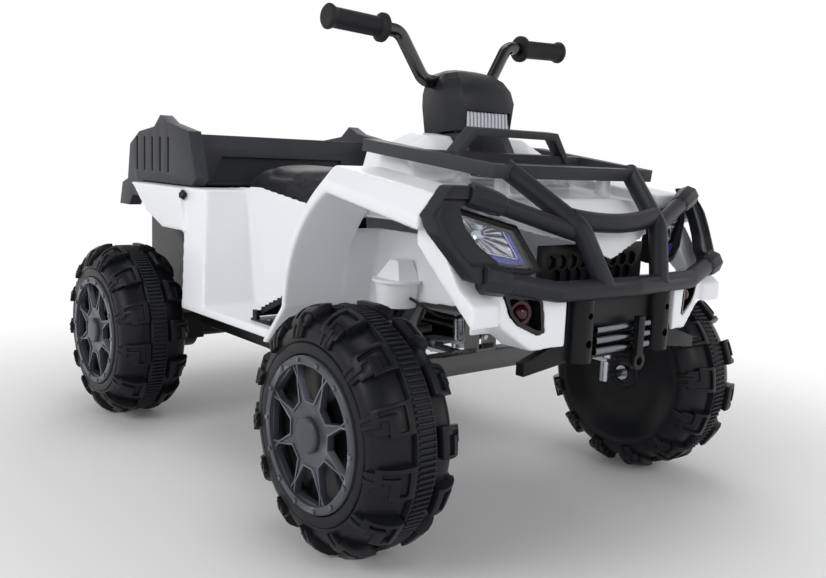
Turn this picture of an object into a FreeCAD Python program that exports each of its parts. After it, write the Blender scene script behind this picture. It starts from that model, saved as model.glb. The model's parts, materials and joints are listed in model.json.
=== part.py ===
import FreeCAD, Part
import math
import os
import Sketcher
from types import SimpleNamespace

# Frame: +X forward, +Y to the rider's left, +Z up, origin on the ground under the middle.
# Driving dimensions, in millimetres unless the name ends in _deg or _count.
SIZES = {
    # Stance
    "rear_reach": 538.0,
    "half_wheelbase": 341.0,
    "half_track": 282.0,
    "tyre_radius": 150.0,
    # Fits shared by all pieces
    "running_clearance": 0.08,
    "panel_gap": 0.4,
    "moving_gap": 3.0,
    "overrun": 6.0,
    "cut_reach": 600.0,
    # Tyre
    "tread_radius": 137.0,
    "sidewall_radius": 108.0,
    "shoulder_radius": 129.0,
    "dish_radius": 112.0,
    "dish_mid_radius": 64.0,
    "tyre_half_width": 57.0,
    "tread_half_width": 46.0,
    "tread_edge": 16.0,
    "dish_depth": 19.0,
    "tyre_wall": 5.0,
    "lug_count": 13,
    "lug_width": 30.0,
    "lug_shift": 5.0,
    "lug_split": 36.0,
    "lug_root": 4.0,
    "lug_step": 2.5,
    # Traction band
    "band_half_width": 14.0,
    "band_seat_radius": 132.0,
    "band_radius": 146.0,
    "band_rail_width": 4.0,
    "rib_height": 3.5,
    "rib_count": 54,
    # Rim and hub cap
    "rim_radius": 92.0,
    "rim_face": 63.0,
    "rim_lip": 8.0,
    "rim_back": 34.0,
    "rim_plate": 5.0,
    "hub_radius": 24.0,
    "hub_tube_radius": 17.0,
    "hub_tube_end": 38.0,
    "star_depth": 7.0,
    "window_count": 8,
    "rim_ridge": 2.0,
    "rim_block": 5.0,
    "rim_block_count": 14,
    "cap_radius": 21.0,
    "cap_height": 7.0,
    # Axles
    "axle_radius": 6.0,
    "axle_end_margin": 12.0,
    "axle_collar_radius": 11.0,
    "axle_collar": 5.0,
    # Front axle beam and knuckles
    "kingpin_y": 196.0,
    "kingpin_radius": 7.0,
    "beam_low": 195.0,
    "beam_height": 26.0,
    "beam_depth": 24.0,
    "beam_wall": 3.0,
    "kingpin_tube_radius": 12.5,
    "kingpin_tube_height": 45.0,
    "kingpin_head": 6.0,
    "steer_arm": 60.0,
    "steer_arm_width": 22.0,
    "steer_arm_plate": 5.0,
    "steer_pin_radius": 4.0,
    "tie_rod_plate": 5.0,
    "tie_rod_width": 16.0,
    "tie_rod_slot": 16.0,
    "tie_rod_play": 1.6,
    "tongue_reach": 24.0,
    "bracket_width": 35.0,
    "bracket_wall": 4.0,
    # Frame
    "rail_y": 73.0,
    "rail_size": 25.0,
    "rail_wall": 2.0,
    "rail_low_mid": 190.0,
    "rail_front_mid": 274.0,
    "rail_rear_mid": 232.0,
    "rail_rear_x": 470.0,
    "rail_rear_bend": 395.0,
    "rail_front_bend": 150.0,
    "rail_rise": 70.0,
    "rail_front_x": 488.0,
    "cross_size": 20.0,
    "drive_cross_lead": 53.0,
    "drive_cross_half": 214.0,
    "axle_plate": 8.0,
    "axle_plate_width": 40.0,
    "column_plate": 6.0,
    "column_plate_length": 60.0,
    # Steering column, in its own raked frame
    "column_x": 222.0,
    "column_foot": 193.0,
    "column_rake_deg": 5.0,
    "column_radius": 8.0,
    "column_length": 398.0,
    "column_nut_radius": 11.0,
    "column_nut": 6.0,
    "column_room": 16.0,
    # Handlebar, grips and pod, in the column's frame
    "bar_radius": 9.5,
    "bar_wall": 1.8,
    "bar_low": 385.0,
    "bar_high": 448.0,
    "bar_low_half": 62.0,
    "bar_rise_half": 104.0,
    "bar_end_half": 222.0,
    "bar_end_lift": 5.0,
    "bar_bend": 22.0,
    "grip_length": 92.0,
    "grip_radius": 13.5,
    "grip_edge": 2.5,
    "grip_flange": 9.0,
    "grip_flange_radius": 19.5,
    "grip_end_radius": 16.5,
    "clamp_half_width": 22.0,
    "clamp_half_depth": 16.5,
    "clamp_half_height": 14.0,
    "pod_base": 312.0,
    "pod_brow": 352.0,
    "pod_top": 400.0,
    "pod_half": 54.0,
    "pod_front": 74.0,
    "pod_rear": 26.0,
    "lens_half": 42.0,
    "lens_height": 22.0,
    "lens_depth": 9.0,
    "lens_sill": 4.0,
    "shroud_height": 30.0,
    "shroud_spread": 20.0,
    "shroud_wall": 4.0,
    # Body shell
    "shell_wall": 4.0,
    "board_low": 204.0,
    "board_top": 218.0,
    "board_half": 246.0,
    "boot_front": 116.0,
    "boot_top_front": 150.0,
    "boot_low_rear": 198.0,
    "boot_top_rear": 228.0,
    "boot_top_half": 226.0,
    "boot_top": 404.0,
    "tunnel_half": 150.0,
    "deck_top": 380.0,
    "deck_rear": 262.0,
    "deck_front": 100.0,
    "rear_skirt_half": 238.0,
    "rear_skirt_low": 332.0,
    "skirt_setback": 110.0,
    "skirt_slope": 64.0,
    "skirt_foot": 66.0,
    "fender_front": 428.0,
    "fender_length": 340.0,
    "fender_height": 252.0,
    "fender_half": 262.0,
    "fender_ridge_half": 240.0,
    "fender_inner_half": 166.0,
    "bay_half": 112.0,
    "bay_front": 436.0,
    "bay_low": 268.0,
    "bay_top": 368.0,
    "bay_thick": 12.0,
    "bay_kick": 32.0,
    "bay_rise": 20.0,
    # Hood and nose
    "hood_rear": 104.0,
    "hood_front": 432.0,
    "hood_low": 386.0,
    "hood_rise": 118.0,
    "hood_wall": 4.0,
    "nose_reach": 58.0,
    "nose_drop": 72.0,
    "nose_half": 165.0,
    "post_radius": 10.0,
    "post_front_x": 390.0,
    "post_rear_x": 318.0,
    "post_half": 98.0,
    # Front rack, a raked plate
    "rack_front_x": 428.0,
    "rack_front_z": 449.0,
    "rack_rake_deg": 6.7,
    "rack_length": 226.0,
    "rack_half": 152.0,
    "rack_rear_half": 176.0,
    "rack_notch": 132.0,
    "rack_notch_half": 146.0,
    "rack_height": 16.0,
    "rack_floor": 6.0,
    "rack_rim": 13.0,
    "rack_slot_count": 4,
    "loop_depth": 20.0,
    "loop_thickness": 10.0,
    "loop_half": 80.0,
    "loop_foot_half": 116.0,
    "loop_height": 32.0,
    # Bull bar
    "bar_tube_radius": 12.0,
    "side_tube_radius": 10.5,
    "bull_top_x": 414.0,
    "bull_top_half": 120.0,
    "bull_top_z": 462.0,
    "bull_bend_x": 499.0,
    "bull_bend_half": 75.0,
    "bull_bend_z": 396.0,
    "bull_foot_half": 52.0,
    "bull_low_x": 526.0,
    "bull_low_z": 327.0,
    "bull_low_half": 128.0,
    "bull_low_sweep": 10.0,
    "bull_cross_z": 407.0,
    "bull_cross_sag": 7.0,
    "bull_bend_radius": 36.0,
    # Corner guards, cut from a slanted slab
    "guard_half": 236.0,
    "guard_x": 431.0,
    "guard_z": 440.0,
    "guard_thickness": 24.0,
    "guard_width": 76.0,
    "guard_height": 132.0,
    "brow_depth": 8.0,
    # Headlights
    "lamp_half": 225.0,
    "lamp_x": 431.0,
    "lamp_z": 419.0,
    "lamp_width": 106.0,
    "lamp_height": 72.0,
    "lamp_bezel": 7.0,
    "lamp_depth": 26.0,
    "lamp_lens": 4.0,
    # Front fascia and fog lamps
    "fascia_front": 513.0,
    "fascia_back": 452.0,
    "fascia_inner": 105.0,
    "fascia_outer": 202.0,
    "fascia_low": 258.0,
    "fascia_top": 327.0,
    "fascia_sweep_deg": 14.0,
    "wing_outer": 238.0,
    "wing_inner": 196.0,
    "wing_drop": 28.0,
    "fascia_lip": 14.0,
    "fog_half": 156.0,
    "fog_z": 301.0,
    "fog_width": 58.0,
    "fog_height": 40.0,
    "fog_depth": 22.0,
    "fog_lens_radius": 14.0,
    "fog_lens": 8.0,
    # Grille
    "grille_half": 100.0,
    "grille_low": 296.0,
    "grille_top": 372.0,
    "grille_plate": 4.0,
    "grille_cell": 9.0,
    "grille_web": 4.0,
    # Centre bumper and fairlead
    "bumper_x": 506.0,
    "bumper_back": 12.0,
    "bumper_half": 96.0,
    "bumper_low": 240.0,
    "bumper_post_half": 75.0,
    "bumper_post_radius": 17.0,
    "bumper_hole_high": 296.0,
    "bumper_hole_low": 263.0,
    "bumper_hole_high_radius": 4.0,
    "bumper_hole_low_radius": 5.0,
    "skid_half": 165.0,
    "skid_height": 34.0,
    "skid_drop": 8.0,
    "roller_radius": 5.0,
    "roller_half": 52.0,
    "roller_pitch": 13.0,
    "roller_low": 250.0,
    "roller_count": 3,
    "hook_y": 22.0,
    "hook_half": 6.0,
    "hook_depth": 8.0,
    "hook_top": 288.0,
    "hook_shelf": 7.0,
    "hook_eye_radius": 11.0,
    "hook_bore_radius": 5.5,
    # Seat
    "seat_rear": 258.0,
    "seat_length": 356.0,
    "seat_half": 112.0,
    "seat_height": 92.0,
    # Cargo box
    "cargo_floor": 405.0,
    "cargo_plate": 4.0,
    "cargo_rear": 486.0,
    "cargo_front": 282.0,
    "cargo_half": 192.0,
    "cargo_wall_top": 494.0,
    "cargo_wall": 20.0,
    "cargo_rear_top": 470.0,
    "cargo_arch_half": 128.0,
    "cargo_arch_top": 456.0,
    "cargo_side_half": 216.0,
    "cargo_side_low": 357.0,
    "cargo_side_height": 168.0,
    "cargo_side_front": 206.0,
    "cargo_groove": 7.0,
    "cargo_groove_depth": 4.0,
    "cargo_groove_pitch": 34.0,
    "cargo_groove_count": 5,
    # Under-tray
    "tray_rear": 205.0,
    "tray_front": 128.0,
    "tray_half": 206.0,
    "tray_wall": 4.0,
    "tub_half": 188.0,
    "tub_rear": 452.0,
    # Battery
    "battery_length": 151.0,
    "battery_width": 96.0,
    "battery_height": 96.0,
    "battery_x": 118.0,
    "battery_edge": 3.0,
    # Drive
    "gearbox_radius": 44.0,
    "gearbox_inner": 164.0,
    "gearbox_outer": 232.0,
    "motor_radius": 18.0,
    "motor_length": 57.0,
    "motor_drop": 4.0,
    # Horn housing and its wire
    "horn_lead": 90.0,
    "horn_half": 133.0,
    "horn_low": 268.0,
    "horn_height": 34.0,
    "horn_radius": 31.0,
    "horn_flange": 35.0,
    "horn_flange_height": 4.0,
    "horn_cap": 26.0,
    "wire_radius": 2.0,
    # Pedal
    "pedal_setback": 70.0,
    "pedal_half": 198.0,
    "pedal_length": 86.0,
    "pedal_width": 62.0,
    "pedal_plate": 7.0,
    "pedal_tilt_deg": 24.0,
    "pedal_pin_radius": 3.0,
    "pedal_pin_height": 11.0,
    "pedal_ear": 6.0,
    "pedal_base_plate": 3.0,
    "pedal_rib": 3.0,
    "pedal_rib_count": 6,
    # Dash switches, on the hood's rear slope
    "button_radius": 9.0,
    "button_height": 12.0,
    "button_half": 34.0,
    "rocker_length": 24.0,
    "rocker_width": 14.0,
    "rocker_depth": 13.0,
    "rocker_pin_radius": 1.0,
    "rocker_pin_depth": 1.7,
    "rocker_pin_reach": 2.0,
    "switch_clearance": 0.35,
}


class Size:
    """A named length: its number, and the sheet expression it comes from."""

    def __init__(self, value, text):
        self.value = float(value)
        self.text = text

    def __float__(self):
        return self.value

    def __add__(self, other):
        return Size(self.value + float(other), f"({self.text} + {text_of(other)})")

    def __radd__(self, other):
        return Size(float(other) + self.value, f"({text_of(other)} + {self.text})")

    def __sub__(self, other):
        return Size(self.value - float(other), f"({self.text} - {text_of(other)})")

    def __rsub__(self, other):
        return Size(float(other) - self.value, f"({text_of(other)} - {self.text})")

    def __mul__(self, other):
        return Size(self.value * float(other), f"({self.text} * {text_of(other)})")

    __rmul__ = __mul__

    def __truediv__(self, other):
        return Size(self.value / float(other), f"({self.text} / {text_of(other)})")

    def __neg__(self):
        return Size(-self.value, f"(-{self.text})")


def text_of(size):
    return size.text if isinstance(size, Size) else repr(float(size))


doc = FreeCAD.newDocument("kids_quad_bike")
sheet = doc.addObject("Spreadsheet::Sheet", "Sizes")
for row, (name, value) in enumerate(SIZES.items(), start=1):
    sheet.set(f"A{row}", name)
    sheet.set(f"B{row}", str(value))
    sheet.setAlias(f"B{row}", name)
doc.recompute()
d = SimpleNamespace(**{name: Size(sheet.get(name), f"Sizes.{name}") for name in SIZES})

ORIGIN = FreeCAD.Vector(0, 0, 0)
X_AXIS = FreeCAD.Vector(1, 0, 0)
Y_AXIS = FreeCAD.Vector(0, 1, 0)
Z_AXIS = FreeCAD.Vector(0, 0, 1)
pieces = []


# Helpers for points, faces and solids
def vec(x, y, z):
    return FreeCAD.Vector(float(x), float(y), float(z))


def polygon(points):
    return Part.makePolygon(points + [points[0]])


def prism(points, travel):
    """Solid swept from a flat polygon along a vector."""
    return Part.Face(polygon(points)).extrude(travel)


def prism_xz(outline, y_from, y_to):
    return prism([vec(x, y_from, z) for x, z in outline], vec(0, y_to - y_from, 0))


def prism_yz(outline, x_from, x_to):
    return prism([vec(x_from, y, z) for y, z in outline], vec(x_to - x_from, 0, 0))


def prism_xy(outline, z_from, z_to):
    return prism([vec(x, y, z_from) for x, y in outline], vec(0, 0, z_to - z_from))


def block(x_from, x_to, y_from, y_to, z_from, z_to):
    return prism_xy([(x_from, y_from), (x_to, y_from), (x_to, y_to), (x_from, y_to)], z_from, z_to)


def rod(start, end, radius):
    along = end - start
    return Part.makeCylinder(float(radius), along.Length, start, along)


def loft(wires):
    return Part.makeLoft(wires, True, True)


def turned(section):
    """Solid turned from a closed section of (radius, place along Y)."""
    face = Part.Face(polygon([vec(radius, along, 0) for radius, along in section]))
    return face.revolve(ORIGIN, Y_AXIS, 360)


def curved_outline(start, steps):
    """Closed wire from a start point and its steps: an end for a line, a middle and an end for an arc."""
    edges = []
    here = start
    for step in steps:
        if len(step) > 1:
            edges.append(Part.Arc(here, *step).toShape())
        else:
            edges.append(Part.makeLine(here, *step))
        here = step[-1]
    edges.append(Part.makeLine(here, start))
    return Part.Wire(edges)


def bent_path(points, bend):
    """Straight runs joined by tangent arcs of one bend radius."""
    edges = []
    start = points[0]
    for before, corner, after in zip(points, points[1:], points[2:]):
        back = (before - corner).normalize()
        ahead = (after - corner).normalize()
        half = back.getAngle(ahead) / 2
        setback = float(bend) / math.tan(half)
        middle = (back + ahead).normalize()
        arc_in = corner + back * setback
        arc_out = corner + ahead * setback
        arc_mid = corner + middle * (float(bend) / math.sin(half) - float(bend))
        edges.append(Part.makeLine(start, arc_in))
        edges.append(Part.Arc(arc_in, arc_mid, arc_out).toShape())
        start = arc_out
    edges.append(Part.makeLine(start, points[-1]))
    return Part.Wire(edges)


def tube(path, radius):
    first = path.Edges[0]
    along = first.tangentAt(first.FirstParameter)
    start = first.valueAt(first.FirstParameter)
    ring = Part.Wire(Part.Circle(start, along, float(radius)).toShape())
    return path.makePipeShell([ring], True, False)


def bent_tube(points, radius, bend):
    return tube(bent_path(points, bend), radius)


def fused(shapes):
    return shapes[0].multiFuse(shapes[1:]).removeSplitter()


def mirrored(shape):
    return shape.mirror(ORIGIN, Y_AXIS)


def main_solid(shape):
    """The largest solid, without the slivers that a tube leaves at an edge."""
    return max(shape.Solids, key=lambda solid: solid.Volume)


def mirror_point(point):
    return FreeCAD.Vector(point.x, -point.y, point.z)


def both_sides(shape):
    return [shape, mirrored(shape)]


def spun(shape, angle_deg):
    copy = shape.copy()
    copy.rotate(ORIGIN, Y_AXIS, angle_deg)
    return copy


def piece(label, shape, placement=None):
    """Document object for one sub-part whose shape comes from Part's functions."""
    item = doc.addObject("Part::Feature", label)
    item.Label = label
    item.Shape = shape
    if placement:
        item.Placement = placement
    pieces.append(item)
    return item


def keep(item, label):
    item.Label = label
    pieces.append(item)
    return item


def bind(item, **sizes):
    for prop, size in sizes.items():
        item.setExpression(prop, text_of(size))
    return item


def place(item, x, y, z):
    item.setExpression(".Placement.Base.x", text_of(x))
    item.setExpression(".Placement.Base.y", text_of(y))
    item.setExpression(".Placement.Base.z", text_of(z))
    return item


# Helpers for sketched bodies
def origin_feature(body, role):
    return [feature for feature in body.Origin.OriginFeatures if feature.Role == role][0]


def sketch_on(body, name, role):
    sketch = body.newObject("Sketcher::SketchObject", name)
    sketch.AttachmentSupport = (origin_feature(body, role), [""])
    sketch.MapMode = "FlatFace"
    return sketch


def draw_polygon(sketch, points):
    """Closed outline whose corners are held by distances bound to the sheet."""
    first = sketch.GeometryCount
    corners = [vec(x, y, 0) for x, y in points]
    count = len(corners)
    for index, corner in enumerate(corners):
        sketch.addGeometry(Part.LineSegment(corner, corners[(index + 1) % count]), False)
    for index in range(count):
        end = first + (index + 1) % count
        sketch.addConstraint(Sketcher.Constraint("Coincident", first + index, 2, end, 1))
    for index, (x, y) in enumerate(points):
        hold_point(sketch, first + index, 1, x, y)


def draw_circle(sketch, x, y, radius):
    circle = sketch.addGeometry(Part.Circle(vec(x, y, 0), Z_AXIS, float(radius)), False)
    hold_point(sketch, circle, 3, x, y)
    at = sketch.addConstraint(Sketcher.Constraint("Radius", circle, float(radius)))
    sketch.setExpression(f"Constraints[{at}]", text_of(radius))


def hold_point(sketch, geometry, point, x, y):
    for kind, size in (("DistanceX", x), ("DistanceY", y)):
        at = sketch.addConstraint(Sketcher.Constraint(kind, -1, 1, geometry, point, float(size)))
        sketch.setExpression(f"Constraints[{at}]", text_of(size))


def new_body(label):
    body = doc.addObject("PartDesign::Body", label)
    body.Label = label
    return body


def pad(body, sketch, length, both_ways=False):
    feature = body.newObject("PartDesign::Pad", f"{sketch.Name}_pad")
    feature.Profile = sketch
    feature.Midplane = both_ways
    feature.setExpression("Length", text_of(length))
    sketch.Visibility = False
    return feature


def pocket_through(body, sketch):
    feature = body.newObject("PartDesign::Pocket", f"{sketch.Name}_pocket")
    feature.Profile = sketch
    feature.Type = "ThroughAll"
    feature.Midplane = True
    sketch.Visibility = False
    return feature


def revolve(body, sketch):
    feature = body.newObject("PartDesign::Revolution", f"{sketch.Name}_turn")
    feature.Profile = sketch
    feature.ReferenceAxis = (sketch, ["V_Axis"])
    feature.Angle = 360
    sketch.Visibility = False
    return feature


# Places that several pieces share
axle_z = d.tyre_radius
front_x = d.half_wheelbase
# How far the footboard, the tunnel and the wheel bay reach past the fender's rear end
BOARD_OVERLAP_SHARE = 12 / 170
TUNNEL_LEAD_SHARE = 29 / 170
BAY_LEAN_SHARE = 14 / 170
rear_x = -d.half_wheelbase
drive_cross_x = rear_x + d.drive_cross_lead
fender_rear = d.fender_front - d.fender_length
board_front = fender_rear + d.fender_length * BOARD_OVERLAP_SHARE
tunnel_front = fender_rear + d.fender_length * TUNNEL_LEAD_SHARE
bay_head = tunnel_front + d.fender_length * BAY_LEAN_SHARE
rear_skirt_end = d.rear_reach - d.skirt_setback
pedal_x = fender_rear - d.pedal_setback
horn_x = tunnel_front + d.horn_lead
rail_half = d.rail_size / 2
rail_front_low = d.rail_front_mid - rail_half
rail_low_low = d.rail_low_mid - rail_half
beam_top = d.beam_low + d.beam_height
axle_half = d.half_track + d.rim_face - d.axle_end_margin
WHEELS = {
    "front_right": (front_x, -1),
    "front_left": (front_x, 1),
    "rear_right": (rear_x, -1),
    "rear_left": (rear_x, 1),
}
column_frame = FreeCAD.Placement(
    vec(d.column_x, 0, d.column_foot),
    FreeCAD.Rotation(Y_AXIS, -float(d.column_rake_deg)),
)


# Wheels, modelled once about their own axis with the outer face towards +Y
def carcass_shape():
    """Hollow tyre body: sidewall, round shoulders, seat for the band, and the dished inner side."""
    half = d.tyre_half_width
    wall = d.tyre_wall
    tread_in = d.tread_radius - wall - wall

    def at(radius, along):
        return vec(radius, along, 0)

    outline = curved_outline(at(d.rim_radius, half - wall), [
        (at(d.sidewall_radius, half),),
        (at(d.shoulder_radius, d.tread_half_width), at(d.tread_radius, d.tread_edge)),
        (at(d.tread_radius, d.band_half_width),),
        (at(d.band_seat_radius, d.band_half_width),),
        (at(d.band_seat_radius, -d.band_half_width),),
        (at(d.tread_radius, -d.band_half_width),),
        (at(d.tread_radius, -d.tread_edge),),
        (at(d.shoulder_radius, -d.tread_half_width), at(d.dish_radius, -half)),
        (at(d.dish_mid_radius, d.dish_depth - half),),
        (at(d.hub_tube_radius, d.dish_depth - half),),
        (at(d.hub_tube_radius, d.dish_depth + wall - half),),
        (at(d.dish_mid_radius, d.dish_depth + wall - half),),
        (at(d.dish_radius, wall - half),),
        (at(tread_in, wall - d.tread_half_width),),
        (at(tread_in, d.tread_half_width - wall),),
        (at(d.sidewall_radius, half - wall),),
        (at(d.rim_radius, half - wall - wall),),
    ])
    return Part.Face(outline).revolve(ORIGIN, Y_AXIS, 360)


def lug_shape():
    """One outer lug: a wide block beside the band and a narrower, lower one over the shoulder."""
    half = d.tyre_half_width
    root = d.tread_radius - d.lug_root - d.lug_root
    inner = d.band_half_width + d.lug_step
    low = d.sidewall_radius + d.lug_width / 2
    crown = d.tyre_radius - d.lug_step
    centre_part = [(root, inner), (d.tyre_radius, inner), (d.tyre_radius, d.lug_split), (root, d.lug_split)]
    shoulder_part = [
        (root, d.lug_split - d.lug_step), (crown, d.lug_split - d.lug_step), (crown, d.tread_half_width),
        (crown - d.lug_root, half + d.lug_step), (low, half + d.lug_step), (low, half - d.lug_root),
        (root, d.tread_half_width - d.lug_root),
    ]
    blocks = []
    for outline, width, shift in (
        (centre_part, d.lug_width, d.lug_shift),
        (shoulder_part, d.lug_width - d.lug_shift, -d.lug_shift),
    ):
        start = (shift - width) / 2
        corners = [vec(radius, along, start) for radius, along in outline]
        blocks.append(prism(corners, vec(0, 0, width)))
    return fused(blocks)


def tyre_shape():
    outer = lug_shape()
    lugs = []
    count = int(float(d.lug_count))
    for lug, turn in ((outer, 0), (mirrored(outer), 1)):
        for index in range(count):
            lugs.append(spun(lug, 360 * (index + turn / 2) / count + 90))
    return carcass_shape().multiFuse(lugs)


def band_shape():
    """Ring of cross ribs between two smooth rails."""
    count = int(float(d.rib_count))
    pitch = 2 * math.pi / count
    rib_shares = [(0.0, 0), (0.12, 1), (0.62, 1), (0.74, 0)]
    corners = []
    for index in range(count):
        for turn_share, rise_share in rib_shares:
            angle = pitch * (index + turn_share)
            radius = d.band_radius - d.rib_height * (1 - rise_share)
            corners.append(vec(radius * math.cos(angle), -d.band_half_width, radius * math.sin(angle)))
    ribs = prism(corners, vec(0, d.band_half_width * 2, 0))
    rail_radius = d.band_radius - d.rib_height / 2
    ring_in = d.band_half_width - d.band_rail_width
    rails = []
    for side in (1, -1):
        rails.append(turned([
            (d.band_seat_radius, ring_in * side),
            (rail_radius, ring_in * side),
            (rail_radius, d.band_half_width * side),
            (d.band_seat_radius, d.band_half_width * side),
        ]))
    middle = turned([
        (d.band_seat_radius, -ring_in),
        (d.tyre_radius, -ring_in),
        (d.tyre_radius, ring_in),
        (d.band_seat_radius, ring_in),
    ])
    return ribs.common(middle).multiFuse(rails)


def rim_shape():
    """Dished wheel with a star of pointed spokes, ridged windows and bolt blocks round its ring."""
    bore = d.axle_radius + d.running_clearance
    back = d.rim_back + d.rim_plate
    face = d.rim_face - d.cap_height
    ring = d.rim_face - d.rim_ridge
    reach = d.rim_radius - d.rim_lip - d.rim_ridge
    wheel = turned([
        (bore, -d.hub_tube_end),
        (d.hub_tube_radius, -d.hub_tube_end),
        (d.hub_tube_radius, d.rim_back),
        (d.rim_radius, d.rim_back),
        (d.rim_radius, ring - d.rim_ridge),
        (d.rim_radius - d.rim_ridge, ring),
        (reach, ring),
        (reach, back),
        (d.hub_radius, back),
        (d.hub_radius, face),
        (bore, face),
    ])
    star = turned([
        (d.hub_tube_radius, face - d.star_depth),
        (d.rim_radius - d.rim_lip, face - d.star_depth),
        (d.rim_radius - d.rim_lip, face),
        (d.hub_tube_radius, face),
    ])
    # Window corners: shares of the reach along the radius, then of the reach to either side
    window_shares = [(0.48, 0.10), (0.78, 0.30), (0.96, 0.32)]
    edge = [(reach * along, reach * wide) for along, wide in window_shares]
    rim = [(edge[0][0] - d.rim_ridge, edge[0][1] + d.rim_ridge)]
    rim += [(along, wide + d.rim_ridge) for along, wide in edge[1:]]
    low = face - d.star_depth - d.overrun
    count = int(float(d.window_count))
    window = prism(both_edges(edge, low), vec(0, d.star_depth + d.overrun * 2, 0))
    ridge = prism(both_edges(rim, face), vec(0, d.rim_ridge, 0)).cut(window)
    windows = [spun(window, 360 * index / count) for index in range(count)]
    ridges = [spun(ridge, 360 * index / count) for index in range(count)]
    middle = (d.rim_radius + reach) / 2
    half = d.rim_block / 2
    stud = block(middle - half, middle + half, ring - d.rim_ridge, d.rim_face, -half, half)
    studs = int(float(d.rim_block_count))
    blocks = [spun(stud, 360 * index / studs) for index in range(studs)]
    return wheel.multiFuse([star.cut(Part.makeCompound(windows))] + ridges + blocks)


def both_edges(edge, height):
    """Flat outline across a spoke's middle line, from one edge's (along, wide) corners."""
    upper = [vec(along, height, wide) for along, wide in edge]
    return upper + [vec(along, height, -wide) for along, wide in reversed(edge)]


def cap_section():
    low = d.rim_face - d.cap_height
    chamfer = d.cap_height / 3
    return [
        (0, low),
        (d.cap_radius, low),
        (d.cap_radius, d.rim_face - chamfer),
        (d.cap_radius - chamfer, d.rim_face),
        (0, d.rim_face),
    ]


def make_wheels():
    tyre = tyre_shape()
    band = band_shape()
    rim = rim_shape()
    for corner, (x, side) in WHEELS.items():
        spin = FreeCAD.Rotation(Z_AXIS, 0 if side > 0 else 180)
        spot = FreeCAD.Placement(vec(x, d.half_track * side, axle_z), spin)
        piece(f"{corner}_tyre", tyre.copy(), spot)
        piece(f"{corner}_traction_band", band.copy(), spot)
        piece(f"{corner}_rim", rim.copy(), spot)
        cap = new_body(f"{corner}_hub_cap")
        sketch = sketch_on(cap, f"{corner}_cap_section", "XY_Plane")
        draw_polygon(sketch, cap_section())
        revolve(cap, sketch)
        cap.Placement = spot
        place(cap, x, d.half_track * side, axle_z)
        keep(cap, f"{corner}_hub_cap")


# Front axle
tube_low = d.beam_low - (d.kingpin_tube_height - d.beam_height) / 2
tube_top = tube_low + d.kingpin_tube_height
kingpin_bore = d.kingpin_radius + d.running_clearance
arm_top = tube_low - d.axle_collar - d.panel_gap
arm_low = arm_top - d.steer_arm_plate
tie_low = arm_top + d.panel_gap
tie_top = tie_low + d.tie_rod_plate
tie_x = front_x - d.steer_arm


def make_axle_beam():
    """Open channel with a kingpin tube at each end."""
    beam = new_body("axle_beam")
    half_depth = d.beam_depth / 2
    wall = d.beam_wall
    sketch = sketch_on(beam, "beam_channel", "XZ_Plane")
    draw_polygon(sketch, [
        (front_x - half_depth, d.beam_low),
        (front_x - half_depth + wall, d.beam_low),
        (front_x - half_depth + wall, beam_top - wall),
        (front_x + half_depth - wall, beam_top - wall),
        (front_x + half_depth - wall, d.beam_low),
        (front_x + half_depth, d.beam_low),
        (front_x + half_depth, beam_top),
        (front_x - half_depth, beam_top),
    ])
    pad(beam, sketch, d.kingpin_y * 2 - d.kingpin_tube_radius, True)
    for side in (1, -1):
        ring = sketch_on(beam, f"kingpin_tube_{'left' if side > 0 else 'right'}", "XY_Plane")
        ring.setExpression(".AttachmentOffset.Base.z", text_of(tube_low))
        draw_circle(ring, front_x, d.kingpin_y * side, d.kingpin_tube_radius)
        pad(beam, ring, d.kingpin_tube_height)
    bores = sketch_on(beam, "kingpin_bores", "XY_Plane")
    for side in (1, -1):
        draw_circle(bores, front_x, d.kingpin_y * side, kingpin_bore)
    pocket_through(beam, bores)
    keep(beam, "axle_beam")


def make_axle_brackets():
    """Pair of folded brackets that carry the frame rails on the beam."""
    half = d.bracket_width / 2
    wall = d.bracket_wall
    outer = block(
        front_x - d.beam_depth / 2, front_x + d.beam_depth / 2, -d.rail_y - half, half - d.rail_y,
        beam_top, rail_front_low,
    )
    inner = block(
        front_x - d.beam_depth, front_x + d.beam_depth, wall - d.rail_y - half, half - d.rail_y - wall,
        beam_top + wall, rail_front_low - wall,
    )
    bracket = outer.cut(inner)
    piece("axle_brackets", Part.makeCompound(both_sides(bracket)))


def knuckle_shape():
    """Right-hand knuckle: kingpin, stub axle, steering arm and its pin."""
    x = front_x
    y = -d.kingpin_y
    collar_at = d.hub_tube_end - d.half_track + d.panel_gap
    pin = rod(vec(x, y, axle_z - d.kingpin_radius), vec(x, y, tube_top + d.panel_gap), d.kingpin_radius)
    head_low = tube_top + d.panel_gap
    head = rod(vec(x, y, head_low), vec(x, y, head_low + d.kingpin_head), d.axle_collar_radius)
    shoulder = rod(vec(x, y, arm_top), vec(x, y, tube_low - d.panel_gap), d.axle_collar_radius)
    axle = rod(vec(x, y, axle_z), vec(x, -axle_half, axle_z), d.axle_radius)
    collar = rod(vec(x, collar_at, axle_z), vec(x, collar_at + d.axle_collar, axle_z), d.axle_collar_radius)
    half = d.steer_arm_width / 2
    arm = block(tie_x - half, x + half, y - half, y + half, arm_low, arm_top)
    peg = rod(vec(tie_x, y, arm_low), vec(tie_x, y, tie_top + d.kingpin_head), d.steer_pin_radius)
    return fused([pin, head, shoulder, axle, collar, arm, peg])


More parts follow.
